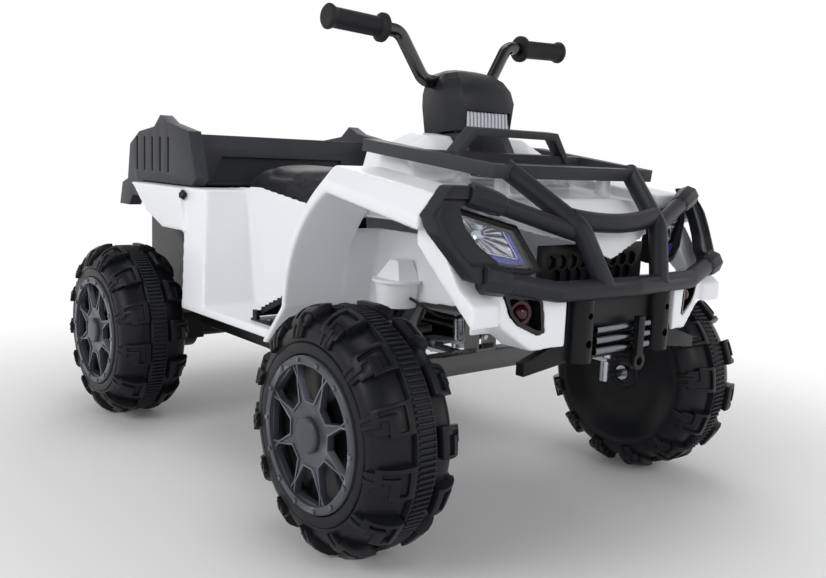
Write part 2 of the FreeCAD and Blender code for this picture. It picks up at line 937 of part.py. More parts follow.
def tie_rod_shape():
    """Flat bar between the steering arms, with a slotted tongue for the column's crank pin."""
    half = d.tie_rod_width / 2
    end = d.kingpin_y + d.tie_rod_width
    crank_x = d.column_x - d.steer_arm
    bar = block(tie_x - d.tie_rod_slot, tie_x + d.tie_rod_slot, -end, end, tie_low, tie_top)
    tongue = block(
        crank_x - d.tongue_reach, tie_x, -d.tie_rod_width, d.tie_rod_width, tie_low, tie_top,
    )
    plate = bar.fuse(tongue)
    slot_half = d.steer_pin_radius + d.tie_rod_play
    long_half = d.tie_rod_slot - half / 2
    for x, y in ((tie_x, d.kingpin_y), (tie_x, -d.kingpin_y), (crank_x, 0)):
        plate = plate.cut(block(
            x - long_half, x + long_half, y - slot_half, y + slot_half,
            tie_low - d.overrun, tie_top + d.overrun,
        ))
    return plate.removeSplitter()


def make_front_axle():
    make_axle_beam()
    make_axle_brackets()
    right = knuckle_shape()
    piece("knuckle_right", right)
    piece("knuckle_left", mirrored(right))
    piece("tie_rod", tie_rod_shape())


# Frame and drive
def strip(points, thickness):
    """Outline of an even band along a bent line in the XZ plane."""
    half = float(thickness) / 2
    runs = [(b - a).normalize() for a, b in zip(points, points[1:])]
    sides = [FreeCAD.Vector(-run.z, 0, run.x) for run in runs]
    upper = [points[0] + sides[0] * half]
    lower = [points[0] - sides[0] * half]
    for point, before, after in zip(points[1:], sides, sides[1:]):
        mitre = (before + after).normalize()
        reach = half / mitre.dot(before)
        upper.append(point + mitre * reach)
        lower.append(point - mitre * reach)
    upper.append(points[-1] + sides[-1] * half)
    lower.append(points[-1] - sides[-1] * half)
    return upper + lower[::-1]


def frame_shape():
    line = [
        vec(-d.rail_rear_x, 0, d.rail_rear_mid),
        vec(-d.rail_rear_bend, 0, d.rail_low_mid),
        vec(d.rail_front_bend, 0, d.rail_low_mid),
        vec(d.rail_front_bend + d.rail_rise, 0, d.rail_front_mid),
        vec(d.rail_front_x, 0, d.rail_front_mid),
    ]
    outline = [point + vec(0, d.rail_y - rail_half, 0) for point in strip(line, d.rail_size)]
    core_size = d.rail_size - d.rail_wall * 2
    core = [point + vec(0, d.rail_y - core_size / 2, 0) for point in strip(line, core_size)]
    rail = prism(outline, vec(0, d.rail_size, 0)).cut(prism(core, vec(0, core_size, 0)))
    rails = both_sides(rail)
    half = d.cross_size / 2
    crosses = [
        block(x - half, x + half, -y, y, z - half, z + half)
        for x, y, z in (
            (-d.rail_rear_bend, d.rail_y, d.rail_low_mid),
            (drive_cross_x, d.drive_cross_half, d.rail_low_mid),
            (d.rail_front_bend - d.rail_rise, d.rail_y, d.rail_low_mid),
            (d.rail_front_x - d.cross_size, d.bumper_half, d.rail_front_mid),
        )
    ]
    plate_half = d.axle_plate_width / 2
    plate = block(
        rear_x - plate_half, rear_x + plate_half, -d.rail_y - d.axle_plate / 2, d.axle_plate / 2 - d.rail_y,
        axle_z - plate_half, d.rail_low_mid,
    )
    plates = both_sides(plate)
    bearing_low = rail_front_low + d.cross_size / 2
    bearing_half = d.column_plate_length / 2
    bearing = block(
        d.column_x - bearing_half, d.column_x + bearing_half, -d.rail_y, d.rail_y,
        bearing_low, bearing_low + d.column_plate,
    )
    frame = fused(rails + crosses + plates + [bearing])
    axle_hole = rod(vec(rear_x, -d.bumper_half, axle_z), vec(rear_x, d.bumper_half, axle_z), d.axle_radius)
    column_hole = Part.makeCylinder(float(d.column_radius + d.running_clearance), float(d.column_length))
    column_hole.Placement = column_frame
    return frame.cut(axle_hole).cut(column_hole)


def make_rear_axle():
    axle = doc.addObject("Part::Cylinder", "rear_axle")
    bind(axle, Radius=d.axle_radius, Height=axle_half * 2)
    axle.Placement.Rotation = FreeCAD.Rotation(X_AXIS, -90)
    place(axle, rear_x, -axle_half, axle_z)
    keep(axle, "rear_axle")


def gearbox_shape():
    """Right gearbox: round case on the axle, saddle under the cross member, motor on its inner face."""
    inner = -d.gearbox_inner
    outer = -d.gearbox_outer
    case = rod(vec(rear_x, inner, axle_z), vec(rear_x, outer, axle_z), d.gearbox_radius)
    top = d.rail_low_mid - d.cross_size / 2
    saddle = prism_xz([
        (rear_x, axle_z - d.gearbox_radius / 2),
        (drive_cross_x + d.cross_size / 2, axle_z - d.motor_radius),
        (drive_cross_x + d.cross_size / 2, top),
        (rear_x, top),
    ], outer, inner)
    motor_x = (rear_x + drive_cross_x) / 2
    motor_z = axle_z - d.motor_drop
    motor = rod(vec(motor_x, inner, motor_z), vec(motor_x, inner + d.motor_length, motor_z), d.motor_radius)
    shaft_way = rod(
        vec(rear_x, 0, axle_z), vec(rear_x, outer - d.overrun, axle_z), d.axle_radius + d.running_clearance,
    )
    return fused([case, saddle, motor]).cut(shaft_way)


# How much of an edge's direction must be upwards to count as an upright corner
UPRIGHT_SHARE = 0.9


def make_battery():
    case = new_body("battery")
    sketch = sketch_on(case, "battery_base", "XY_Plane")
    half_width = d.battery_width / 2
    draw_polygon(sketch, [
        (-d.battery_length, -half_width), (0, -half_width), (0, half_width), (-d.battery_length, half_width),
    ])
    base = pad(case, sketch, d.battery_height)
    doc.recompute()
    edges = [
        f"Edge{index}" for index, edge in enumerate(base.Shape.Edges, start=1)
        if abs(edge.tangentAt(edge.FirstParameter).z) > UPRIGHT_SHARE
    ]
    rounded = case.newObject("PartDesign::Fillet", "battery_corners")
    rounded.Base = (base, edges)
    rounded.setExpression("Radius", text_of(d.battery_edge))
    place(case, d.battery_x - d.battery_length / 2, 0, rail_low_low)
    keep(case, "battery")


def under_tray_shape():
    """Black pan below the footboards, with the tub that closes the rear wheel houses."""
    plate = d.tray_wall
    floor_low = rail_low_low - plate
    floor = block(-d.tray_rear, d.tray_front, -d.tray_half, d.tray_half, floor_low, rail_low_low)
    wall = block(
        -d.tray_rear, fender_rear - d.panel_gap, -d.tray_half, plate - d.tray_half,
        floor_low, d.board_top - d.shell_wall - d.panel_gap,
    )
    tub_low = d.rail_low_mid + d.cross_size / 2 + d.panel_gap
    tub_top = d.cargo_floor - d.panel_gap
    back = d.tub_rear - d.rail_rear_bend
    tub = prism_xz([
        (-d.tray_rear, floor_low), (-d.tray_rear, tub_top), (-d.tub_rear, tub_top),
        (-d.tub_rear, tub_low + back), (-d.rail_rear_bend, tub_low),
        (-d.tray_rear - plate, tub_low), (-d.tray_rear - plate, floor_low),
    ], -d.tub_half, plate - d.tub_half)
    end = block(-d.tub_rear, plate - d.tub_rear, -d.tub_half, d.tub_half, tub_low + back, tub_top)
    boot_rooms = both_sides(boot_solid(-d.shell_wall / 2, d.board_low - d.overrun))
    return fused([floor, end] + both_sides(wall) + both_sides(tub)).cut(Part.makeCompound(boot_rooms))


def make_frame_and_drive():
    piece("chassis_frame", frame_shape())
    make_rear_axle()
    right = gearbox_shape()
    piece("gearbox_right", right)
    piece("gearbox_left", mirrored(right))
    make_battery()
    piece("under_tray", under_tray_shape())


# Steering above the column foot, all in the column's raked frame
def make_column():
    shaft = Part.makeCylinder(float(d.column_radius), float(d.column_length))
    nut = Part.makeCylinder(float(d.column_nut_radius), float(d.column_nut))
    half = d.steer_arm_width / 2
    crank = block(-d.steer_arm - half, half, -half, half, d.column_nut, d.column_nut + d.steer_arm_plate)
    pin_low = tie_low - d.column_foot - d.panel_gap
    pin = rod(vec(-d.steer_arm, 0, pin_low), vec(-d.steer_arm, 0, d.column_nut), d.steer_pin_radius)
    piece("steering_column", fused([shaft, nut, crank, pin]), column_frame)


def bar_points():
    half_points = [
        vec(0, d.bar_low_half, d.bar_low),
        vec(0, d.bar_rise_half, d.bar_high),
        vec(0, d.bar_end_half, d.bar_high + d.bar_end_lift),
    ]
    return [FreeCAD.Vector(p.x, -p.y, p.z) for p in reversed(half_points)] + half_points


def clamp_block(gap):
    return block(
        -d.clamp_half_depth - gap, d.clamp_half_depth + gap,
        -d.clamp_half_width - gap, d.clamp_half_width + gap,
        d.bar_low - d.clamp_half_height - gap, d.bar_low + d.clamp_half_height + gap,
    )


def column_shaft(radius):
    return Part.makeCylinder(float(radius), float(d.column_length))


def make_handlebar():
    path = bent_path(bar_points(), d.bar_bend)
    core = tube(path, d.bar_radius - d.bar_wall)
    bar = tube(path, d.bar_radius).fuse(clamp_block(0))
    piece("handlebar", bar.cut(column_shaft(d.column_radius)).cut(core), column_frame)


def grip_section():
    """Half section of a grip: round inner flange, plain barrel and flared closed end."""
    inner = d.bar_radius
    edge = d.grip_edge
    end = d.grip_length
    return [
        (inner, 0),
        (d.grip_flange_radius - edge, 0),
        (d.grip_flange_radius, edge),
        (d.grip_flange_radius, d.grip_flange - edge),
        (d.grip_flange_radius - edge, d.grip_flange),
        (d.grip_radius, d.grip_flange + edge),
        (d.grip_radius, end - d.grip_flange),
        (d.grip_end_radius, end - edge),
        (d.grip_end_radius, end),
        (d.grip_end_radius - edge, end + edge),
        (0, end + edge),
        (0, end),
        (inner, end),
    ]


def make_grips():
    start, end = bar_points()[-2:]
    along = (end - start).normalize()
    for label, side in (("grip_right", -1), ("grip_left", 1)):
        grip = new_body(label)
        sketch = sketch_on(grip, f"{label}_section", "XY_Plane")
        draw_polygon(sketch, grip_section())
        revolve(grip, sketch)
        run = FreeCAD.Vector(along.x, along.y * side, along.z)
        foot = FreeCAD.Vector(end.x, end.y * side, end.z) - run * float(d.grip_length)
        spot = FreeCAD.Placement(foot, FreeCAD.Rotation(Y_AXIS, run))
        grip.Placement = column_frame.multiply(spot)
        keep(grip, label)


# Pod levels: share of the height from the brow to the top (base below), then shares of the pod's front,
# rear, half width and nose width
POD_SHARES = [
    (0.0, 1.0, 1.0, 1.0, 0.9),
    (0.36, 0.93, 1.0, 0.97, 0.9),
    (0.66, 0.79, 0.97, 0.88, 0.88),
    (0.88, 0.58, 0.92, 0.74, 0.85),
    (1.0, 0.34, 0.84, 0.55, 0.8),
]
POD_BASE_SHARES = (0.94, 0.9, 0.96, 0.84)
SHROUD_TOP_SHARES = (0.92, 0.9, 0.94, 0.8)
SHROUD_NOSE_SHARE = 0.7
# Plan of the pod: where its sides are widest, how far they draw in behind and how round its front is
POD_SHOULDER_SHARE = 0.45
POD_TAPER_SHARE = 0.8
POD_CROWN_SHARE = 0.93


def pod_outline(height, front_share, rear_share, half_share, nose_share):
    """Eight-sided plan of the pod at one height, with a crowned front."""
    front = d.pod_front * front_share
    half = d.pod_half * half_share
    nose = half * nose_share
    side = [
        (-d.pod_rear * rear_share, half * POD_TAPER_SHARE), (front * POD_SHOULDER_SHARE, half),
        (front * POD_CROWN_SHARE, nose), (front, nose / 2),
    ]
    return [vec(x, -y, height) for x, y in side] + [vec(x, y, height) for x, y in reversed(side)]


def pod_solid(thin_share, low, wall):
    """Domed pod, or the hollow inside it when its plan is drawn in and its top lowered by a wall."""
    span = d.pod_top - d.pod_brow - wall
    heights = [(low, POD_BASE_SHARES)]
    heights += [(d.pod_brow + span * rise, shares) for rise, *shares in POD_SHARES]
    levels = []
    for height, (front, rear, half, nose) in heights:
        plan = pod_outline(height, front * thin_share, rear * thin_share, half * thin_share, nose)
        levels.append(polygon(plan))
    return loft(levels)


def make_pod():
    wall = d.shroud_wall
    outer = pod_solid(1, d.pod_base, 0)
    hollow = pod_solid(1 - float(wall / d.pod_half), d.pod_base - d.overrun, wall * 2)
    recess_low = d.pod_base + d.lens_sill
    lens_back = d.pod_front - d.lens_depth * 2
    recess = block(
        lens_back, d.pod_front + d.overrun, -d.lens_half, d.lens_half, recess_low, recess_low + d.lens_height,
    )
    bar = tube(bent_path(bar_points(), d.bar_bend), d.bar_radius + d.panel_gap / 2)
    boss = block(
        -d.column_nut_radius, d.column_nut_radius, -d.pod_half, d.pod_half,
        d.bar_low - d.clamp_half_height, d.bar_low,
    )
    shell = outer.cut(hollow).fuse(outer.common(boss)).cut(recess).cut(bar)
    shell = shell.cut(clamp_block(d.panel_gap)).cut(column_shaft(d.column_radius))
    piece("handlebar_pod", shell, column_frame)
    lens = block(
        lens_back, d.pod_front - d.lens_depth, d.panel_gap - d.lens_half, d.lens_half - d.panel_gap,
        recess_low + d.panel_gap, recess_low + d.lens_height - d.panel_gap,
    )
    piece("pod_lens", lens, column_frame)


def shroud_solid():
    """Tapered collar that stands on the hood below the pod."""
    top = d.pod_base - d.moving_gap
    low = top - d.shroud_height * 2
    spread = 1 + float(d.shroud_spread / d.pod_front)
    collar = loft([
        polygon(pod_outline(low, spread, spread, spread, SHROUD_NOSE_SHARE)),
        polygon(pod_outline(top, *SHROUD_TOP_SHARES)),
    ])
    collar.Placement = column_frame
    return collar


def make_steering():
    make_column()
    make_handlebar()
    make_grips()
    make_pod()


# White body
def fender_section(y, upper_shares):
    """Outline of the front fender: straight foot, round shoulder and straight top, above and below."""
    arch_shares = [(0.053, 0.0), (0.197, 0.230), (0.288, 0.639), (0.462, 0.861), (0.994, 0.738)]

    def at(share):
        return vec(fender_rear + d.fender_length * share[0], y, d.board_low + d.fender_height * share[1])

    low = [at(share) for share in arch_shares]
    high = [at(share) for share in upper_shares]
    return Part.Wire([
        Part.makeLine(low[0], low[1]),
        Part.Arc(low[1], low[2], low[3]).toShape(),
        Part.makeLine(low[3], low[4]),
        Part.makeLine(low[4], high[4]),
        Part.makeLine(high[4], high[3]),
        Part.Arc(high[3], high[2], high[1]).toShape(),
        Part.makeLine(high[1], high[0]),
        Part.makeLine(high[0], low[0]),
    ])


def fender_shape():
    lip_shares = [(0.02, 0.0), (0.172, 0.236), (0.262, 0.667), (0.458, 0.925), (0.994, 0.794)]
    ridge_shares = [(0.0, 0.0), (0.152, 0.244), (0.235, 0.7), (0.432, 1.0), (1.0, 0.901)]
    inner = -d.fender_inner_half
    return loft([
        fender_section(-d.fender_half, lip_shares),
        fender_section(-d.fender_ridge_half, ridge_shares),
        fender_section(inner, ridge_shares),
    ])


def boot_solid(inset, low):
    """Rear corner of the footwell from a given foot height, drawn in towards its top."""
    inner = -d.tunnel_half + d.shell_wall
    sections = []
    for height, rear, front, half in (
        (low, d.boot_low_rear, d.boot_front, d.board_half),
        (d.boot_top - inset, d.boot_top_rear, d.boot_top_front, d.boot_top_half),
    ):
        sections.append(polygon([
            vec(-rear + inset, inner, height), vec(-rear + inset, -half + inset, height),
            vec(-front - inset, -half + inset, height), vec(-front - inset, inner, height),
        ]))
    return loft(sections)


def shell_side():
    """Everything on the right-hand side of the one-piece body shell."""
    wall = d.shell_wall
    inner = -d.tunnel_half
    board = block(-d.boot_low_rear, board_front, -d.board_half, inner + wall, d.board_top - wall, d.board_top)
    lip = block(-d.boot_low_rear, board_front, -d.board_half, wall - d.board_half, d.board_low, d.board_top)
    boot = boot_solid(0, d.board_low).cut(boot_solid(wall, d.board_low - wall))
    hood_seat = d.hood_low - d.panel_gap
    step = min(d.hood_rear, tunnel_front, key=float) - d.panel_gap
    tunnel = prism_xz([
        (-d.boot_low_rear, d.board_top - wall),
        (tunnel_front, d.board_top - wall),
        (tunnel_front, hood_seat),
        (step, hood_seat),
        (-d.boot_front, d.boot_top + wall * 2),
        (-d.boot_top_rear, d.boot_top),
    ], inner, inner + wall)
    rear = -rear_skirt_end
    boot_back = wall - d.boot_top_rear
    skirt = prism_xz([
        (-d.boot_low_rear - wall * 2, d.rear_skirt_low),
        (-d.boot_top_rear - d.skirt_foot, d.rear_skirt_low),
        (rear + d.skirt_slope, d.cargo_side_low),
        (rear, d.boot_top),
        (boot_back, d.boot_top),
    ], -d.rear_skirt_half, wall - d.rear_skirt_half)
    ledge = block(
        rear, boot_back, -d.rear_skirt_half, -d.tub_half - d.panel_gap, d.boot_top - wall, d.boot_top,
    )
    bay_foot = tunnel_front - wall
    bay_back = prism_xz([
        (fender_rear, d.board_low), (bay_foot, d.board_low), (bay_head, d.bay_top),
        (bay_head - d.bay_thick, d.bay_top), (tunnel_front - d.bay_thick, d.board_low + d.bay_kick),
    ], -d.fender_inner_half, -d.bay_half)
    bay = prism_xz([
        (bay_foot, d.board_low), (bay_head, d.bay_low), (d.bay_front, d.bay_low + d.bay_rise),
        (d.bay_front, d.bay_top), (bay_head - d.bay_thick, d.bay_top),
    ], -d.bay_half - wall, -d.bay_half)
    return fused([board, lip, boot, tunnel, skirt, ledge, fender_shape(), bay_back, bay])


def body_shell_shape():
    side = shell_side().cut(lamp_room()).cut(guard_shape())
    inner = d.tunnel_half - d.shell_wall
    deck = block(-d.deck_rear, d.deck_front, -inner, inner, d.deck_top - d.shell_wall, d.deck_top)
    shell = fused(both_sides(side) + [deck])
    room = d.panel_gap
    beyond = d.column_length
    rail_room = block(
        d.rail_front_bend - d.rail_rise, beyond, -d.rail_y - rail_half - room, d.rail_y + rail_half + room,
        0, d.rail_front_mid + rail_half + room,
    )
    return shell.cut(rail_room)


# Hood stations: share of the hood's length, then half width and height shares of the low, shoulder
# and top corners (half widths of nose_half, heights of hood_rise above hood_low)
HOOD_SHARES = [
    (0.0, (0.88, 0.0), (0.64, 0.38), (0.32, 0.64)),
    (0.19, (0.99, 0.0), (0.84, 0.80), (0.58, 0.97)),
    (0.30, (0.99, 0.0), (0.85, 0.84), (0.58, 1.0)),
    (0.41, (0.99, 0.0), (0.85, 0.80), (0.57, 0.97)),
    (0.48, (0.99, 0.0), (0.88, 0.64), (0.54, 0.78)),
    (0.55, (0.99, 0.0), (0.91, 0.46), (0.50, 0.52)),
    (0.75, (0.99, 0.0), (0.91, 0.38), (0.50, 0.42)),
    (1.0, (0.99, 0.0), (0.85, 0.30), (0.40, 0.34)),
]
# Nose stations: share of the half width, then (reach, drop) shares of the upper edge and the tip
NOSE_SHARES = [
    (0.0, (0.58, 0.41), (1.0, 1.0)),
    (0.36, (0.52, 0.33), (0.9, 0.70)),
    (0.67, (0.30, 0.24), (0.57, 0.56)),
    (1.0, (0.06, 0.14), (0.14, 0.36)),
]
NOSE_CROWN_SHARE = 0.08
POST_FOOT_SHARE = 0.36


def hood_solid(inset):
    sections = []
    for along, low, shoulder, top in HOOD_SHARES:
        x = d.hood_rear + (d.hood_front - d.hood_rear) * along
        half = []
        for wide, rise in (low, shoulder, top):
            half.append((d.nose_half * wide - inset, d.hood_low + d.hood_rise * rise - inset))
        corners = [vec(x, -y, z) for y, z in half] + [vec(x, y, z) for y, z in reversed(half)]
        sections.append(polygon(corners))
    return loft(sections)


def nose_shape():
    sections = []
    wall = d.hood_wall
    top = d.hood_low + d.hood_rise * HOOD_SHARES[-1][3][1]
    stations = [(-share, edge, tip) for share, edge, tip in reversed(NOSE_SHARES[1:])] + NOSE_SHARES
    for share, edge, tip in stations:
        y = d.nose_half * share
        back = d.hood_front
        edge_x, edge_z = back + d.nose_reach * edge[0], top - d.nose_drop * edge[1]
        tip_x, tip_z = back + d.nose_reach * tip[0], top - d.nose_drop * tip[1]
        rear_z = top - d.nose_drop * abs(share) * NOSE_CROWN_SHARE
        sections.append(polygon([
            vec(back, y, rear_z), vec(edge_x, y, edge_z), vec(tip_x, y, tip_z),
            vec(tip_x - wall, y, tip_z), vec(edge_x - wall, y, edge_z - wall), vec(back, y, rear_z - wall),
        ]))
    return loft(sections)


def rack_frame():
    return FreeCAD.Placement(
        vec(d.rack_front_x, 0, d.rack_front_z), FreeCAD.Rotation(Y_AXIS, float(d.rack_rake_deg)),
    )


def hood_posts():
    """Four round posts from the hood up to the rack's underside."""
    below = block(
        -d.rack_length, d.rack_length, -d.rack_rear_half, d.rack_rear_half, -d.rack_front_z, -d.panel_gap,
    )
    below.Placement = rack_frame()
    posts = []
    for x in (d.post_front_x, d.post_rear_x):
        foot = vec(x, -d.post_half, d.hood_low + d.hood_rise * POST_FOOT_SHARE)
        head = vec(x, -d.post_half, d.rack_front_z + d.rack_length)
        posts += both_sides(rod(foot, head, d.post_radius).common(below))
    return posts


def switch_frame(y):
    """Placement on the middle of the hood's rear slope, with its own Z along the slope's normal."""
    first, second = HOOD_SHARES[0], HOOD_SHARES[1]
    span = d.hood_front - d.hood_rear
    run = span * (second[0] - first[0])
    rise = d.hood_rise * (second[3][1] - first[3][1])
    slope = math.degrees(math.atan2(float(rise), float(run)))
    x = d.hood_rear + run / 2
    z = d.hood_low + d.hood_rise * (first[3][1] + second[3][1]) / 2
    return FreeCAD.Placement(vec(x, y, z), FreeCAD.Rotation(Y_AXIS, -slope))


def hood_shape():
    shell = hood_solid(0).cut(hood_solid(d.hood_wall))
    back = block(
        d.hood_rear - d.overrun, d.hood_rear + d.hood_wall, -d.nose_half, d.nose_half, 0, d.pod_base,
    ).common(hood_solid(0))
    hood = fused([shell, back, nose_shape()] + hood_posts())
    column_way = column_shaft(d.column_room)
    column_way.Placement = column_frame
    button = Part.makeCylinder(float(d.button_radius + d.switch_clearance), float(d.button_height * 4))
    button.translate(vec(0, 0, -d.button_height * 2))
    button.Placement = switch_frame(-d.button_half).multiply(button.Placement)
    long_half = d.rocker_length / 2 + d.switch_clearance
    wide_half = d.rocker_width / 2 + d.switch_clearance
    rocker = block(-long_half, long_half, -wide_half, wide_half, -d.rocker_depth * 2, d.rocker_depth * 2)
    rocker = rocker.fuse(rocker_pin(d.rocker_pin_radius + d.running_clearance))
    rocker.Placement = switch_frame(d.button_half)
    return hood.cut(column_way).cut(button).cut(rocker).cut(shroud_solid())


def rocker_pin(radius):
    """Pivot of the rocker, just below the hood's skin."""
    half = d.rocker_width / 2 + d.switch_clearance + d.rocker_pin_reach
    return rod(vec(0, -half, -d.rocker_pin_depth), vec(0, half, -d.rocker_pin_depth), radius)


# Side view of the rocker, shares of its half length and half depth
ROCKER_SHARES = [(-1.0, 1.0), (0.0, 0.6), (1.0, 1.0), (0.6, -1.0), (-0.6, -1.0)]


def make_switches():
    cap = Part.makeCylinder(float(d.button_radius), float(d.button_height))
    cap.translate(vec(0, 0, -d.button_height / 2))
    piece("power_button", cap, switch_frame(-d.button_half))
    wide_half = d.rocker_width / 2
    profile = [(d.rocker_length / 2 * along, d.rocker_depth / 2 * up) for along, up in ROCKER_SHARES]
    rocker = prism_xz(profile, -wide_half, wide_half).fuse(rocker_pin(d.rocker_pin_radius))
    piece("direction_rocker", rocker, switch_frame(d.button_half))


def guard_slab(x, y, z, lean, sweep, low, high):
    """Slanted slab x = base + sweep * y - lean * z, between two offsets along X."""
    far = d.cut_reach
    corners = []
    for offset in (low, high):
        ring = []
        for wide, tall in ((-far, 0), (0, 0), (0, far), (-far, far)):
            ring.append(vec(x + (wide - y) * sweep - (tall - z) * lean + offset, wide, tall))
        corners.append(polygon(ring))
    return loft(corners)


# The guard and headlight planes: how far they lean back with height and sweep back outwards
GUARD_LEAN_SHARE = 0.48
GUARD_SWEEP_SHARE = 0.41
LAMP_LEAN_SHARE = 0.194
LAMP_SWEEP_SHARE = 0.247
# Front views, as shares of width (inwards) and height (downwards) from the outer top corner
GUARD_SHARES = [
    (0.42, -0.01), (0.1, -0.01), (-0.31, 0.24), (-0.28, 0.38), (0.05, 0.755), (0.52, 0.83),
    (0.52, 0.6), (0.3, 0.47), (0.18, 0.32), (0.18, 0.17), (0.42, 0.14),
]
BROW_SHARES = [(0.7, 0.105), (-0.08, 0.105), (-0.2, 0.25), (-0.1, 0.47), (0.07, 0.63), (0.7, 0.63)]
GUARD_LOW_ARM_SHARES = (0.2, 0.73)
GUARD_TOP_ARM_SHARES = (0.34, 0.06)
LAMP_SHARES = [(0.09, 0.13), (0.75, 0.39), (0.97, 0.97), (0.88, 1.0), (0.54, 0.95), (0.31, 0.75), (0.07, 0.3)]


def front_view(half, z, width, height, shares):
    return [(-half + width * across, z - height * down) for across, down in shares]


def guard_shape():
    """Right guard: a slanted plate with a raised frame round its recessed brow."""
    outline = front_view(d.guard_half, d.guard_z, d.guard_width, d.guard_height, GUARD_SHARES)
    brow = front_view(d.guard_half, d.guard_z, d.guard_width, d.guard_height, BROW_SHARES)
    half = d.guard_thickness / 2
    place_args = (d.guard_x, -d.guard_half, d.guard_z, GUARD_LEAN_SHARE, GUARD_SWEEP_SHARE)
    plate_slab = guard_slab(*place_args, -half, half)
    brow_slab = guard_slab(*place_args, half - d.brow_depth, d.guard_thickness)
    plate = prism_yz(outline, 0, d.cut_reach).common(plate_slab)
    return plate.cut(prism_yz(brow, 0, d.cut_reach).common(brow_slab))


def lamp_slab(low, high):
    return guard_slab(d.lamp_x, -d.lamp_half, d.lamp_z, LAMP_LEAN_SHARE, LAMP_SWEEP_SHARE, low, high)


def lamp_prism(grow):
    outline = front_view(d.lamp_half, d.lamp_z, d.lamp_width, d.lamp_height, LAMP_SHARES)
    wire = polygon([vec(0, y, z) for y, z in outline])
    if float(grow):
        wire = wire.makeOffset2D(float(grow), join=2)
    return Part.Face(wire).extrude(vec(d.cut_reach, 0, 0))


def lamp_room():
    """Space that the right headlight takes up in the panels round it."""
    slab = lamp_slab(-d.lamp_depth - d.panel_gap, d.cut_reach)
    return lamp_prism(d.lamp_bezel + d.panel_gap).common(slab)


def headlight_shapes():
    """Right housing, a bucket with a rim, and the lens that lies in it."""
    bucket = lamp_prism(d.lamp_bezel).common(lamp_slab(-d.lamp_depth, d.lamp_lens))
    hollow = lamp_prism(d.panel_gap / 2).common(lamp_slab(d.lamp_lens - d.lamp_depth, d.lamp_lens * 2))
    ledge = lamp_prism(d.panel_gap / 2).cut(lamp_prism(-d.lamp_lens)).common(lamp_slab(-d.lamp_lens, 0))
    lens = lamp_prism(0).common(lamp_slab(0, d.lamp_lens))
    return bucket.cut(hollow).fuse(ledge), lens


def fascia_front_slab(depth_low, depth_high):
    sweep = math.tan(math.radians(float(d.fascia_sweep_deg)))
    return guard_slab(d.fascia_front, -d.fascia_inner, d.fascia_low, 0, sweep, depth_low, depth_high)


FASCIA_SHARES = [(0.0, 1.0), (0.0, 0.05), (0.46, 0.0), (0.88, 0.42), (1.0, 1.0)]
WING_SHARES = [(-0.5, 1.0), (-0.05, 0.98), (0.45, 0.55), (0.78, 0.42), (0.78, 0.22), (0.2, 0.5), (-0.5, 0.86)]
FOG_SHARES = [
    (-0.57, 0.62), (0.24, 0.49), (0.31, 0.33), (0.38, -0.56), (0.21, -0.57), (-0.21, -0.29), (-0.38, -0.04),
]


def fog_prism(grow):
    wire = polygon([
        vec(0, d.fog_width * across - d.fog_half, d.fog_z + d.fog_height * up) for across, up in FOG_SHARES
    ])
    if float(grow):
        wire = wire.makeOffset2D(float(grow), join=2)
    return Part.Face(wire).extrude(vec(d.cut_reach, 0, 0))


def fascia_side():
    """Right corner: swept lower panel with its fog lamp opening, and the wing behind the guard."""
    width = d.fascia_outer - d.fascia_inner
    height = d.fascia_top - d.fascia_low
    wall = d.shell_wall
    outline = [(-d.fascia_inner - width * across, d.fascia_low + height * up) for across, up in FASCIA_SHARES]
    solid = prism_yz(outline, d.fascia_back, d.cut_reach)
    inner_wire = polygon([vec(0, y, z) for y, z in outline]).makeOffset2D(-float(wall), join=2)
    hollow = Part.Face(inner_wire).extrude(vec(d.cut_reach, 0, 0))
    hollow = hollow.common(fascia_front_slab(-d.cut_reach, -wall))
    panel = solid.common(fascia_front_slab(-d.cut_reach, 0)).cut(hollow)
    reach = d.fascia_front - d.bay_front
    wing_height = d.lamp_z - d.wing_drop - d.fascia_low
    wing = prism_xz(
        [(d.bay_front + reach * along, d.fascia_low + wing_height * up) for along, up in WING_SHARES],
        -d.wing_outer, -d.wing_inner,
    )
    link = block(
        d.fascia_back, d.fascia_back + wall, -d.fascia_outer, wall - d.fascia_inner,
        d.fascia_low + d.fascia_lip, d.fascia_top,
    )
    return fused([panel, wing, link])


def fascia_shape(cutters):
    right = fascia_side()
    wall = d.shell_wall
    bridge = block(
        d.fascia_back, d.fascia_back + wall, -d.fascia_inner, d.fascia_inner,
        d.rail_front_mid + rail_half + d.panel_gap, d.grille_low + d.grille_cell,
    )
    shape = fused(both_sides(right) + [bridge])
    for cutter in cutters:
        shape = shape.cut(cutter)
    return shape


def fog_shapes():
    """Right fog lamp: a deep bezel in the fascia's opening and a round lens at its back."""
    bezel = fog_prism(-d.panel_gap).common(fascia_front_slab(-d.fog_depth, 0))
    hollow = fog_prism(-d.shell_wall).common(fascia_front_slab(d.shell_wall - d.fog_depth, d.fog_depth))
    sweep = math.tan(math.radians(float(d.fascia_sweep_deg)))
    seat_x = d.fascia_front - (d.fog_half - d.fascia_inner) * sweep - d.fog_depth + d.shell_wall
    facing = FreeCAD.Vector(1, -sweep, 0).normalize()
    seat = vec(seat_x, -d.fog_half, d.fog_z)
    lens = Part.makeCylinder(float(d.fog_lens_radius), float(d.fog_lens), seat, facing)
    return bezel.cut(hollow), lens.common(hollow)


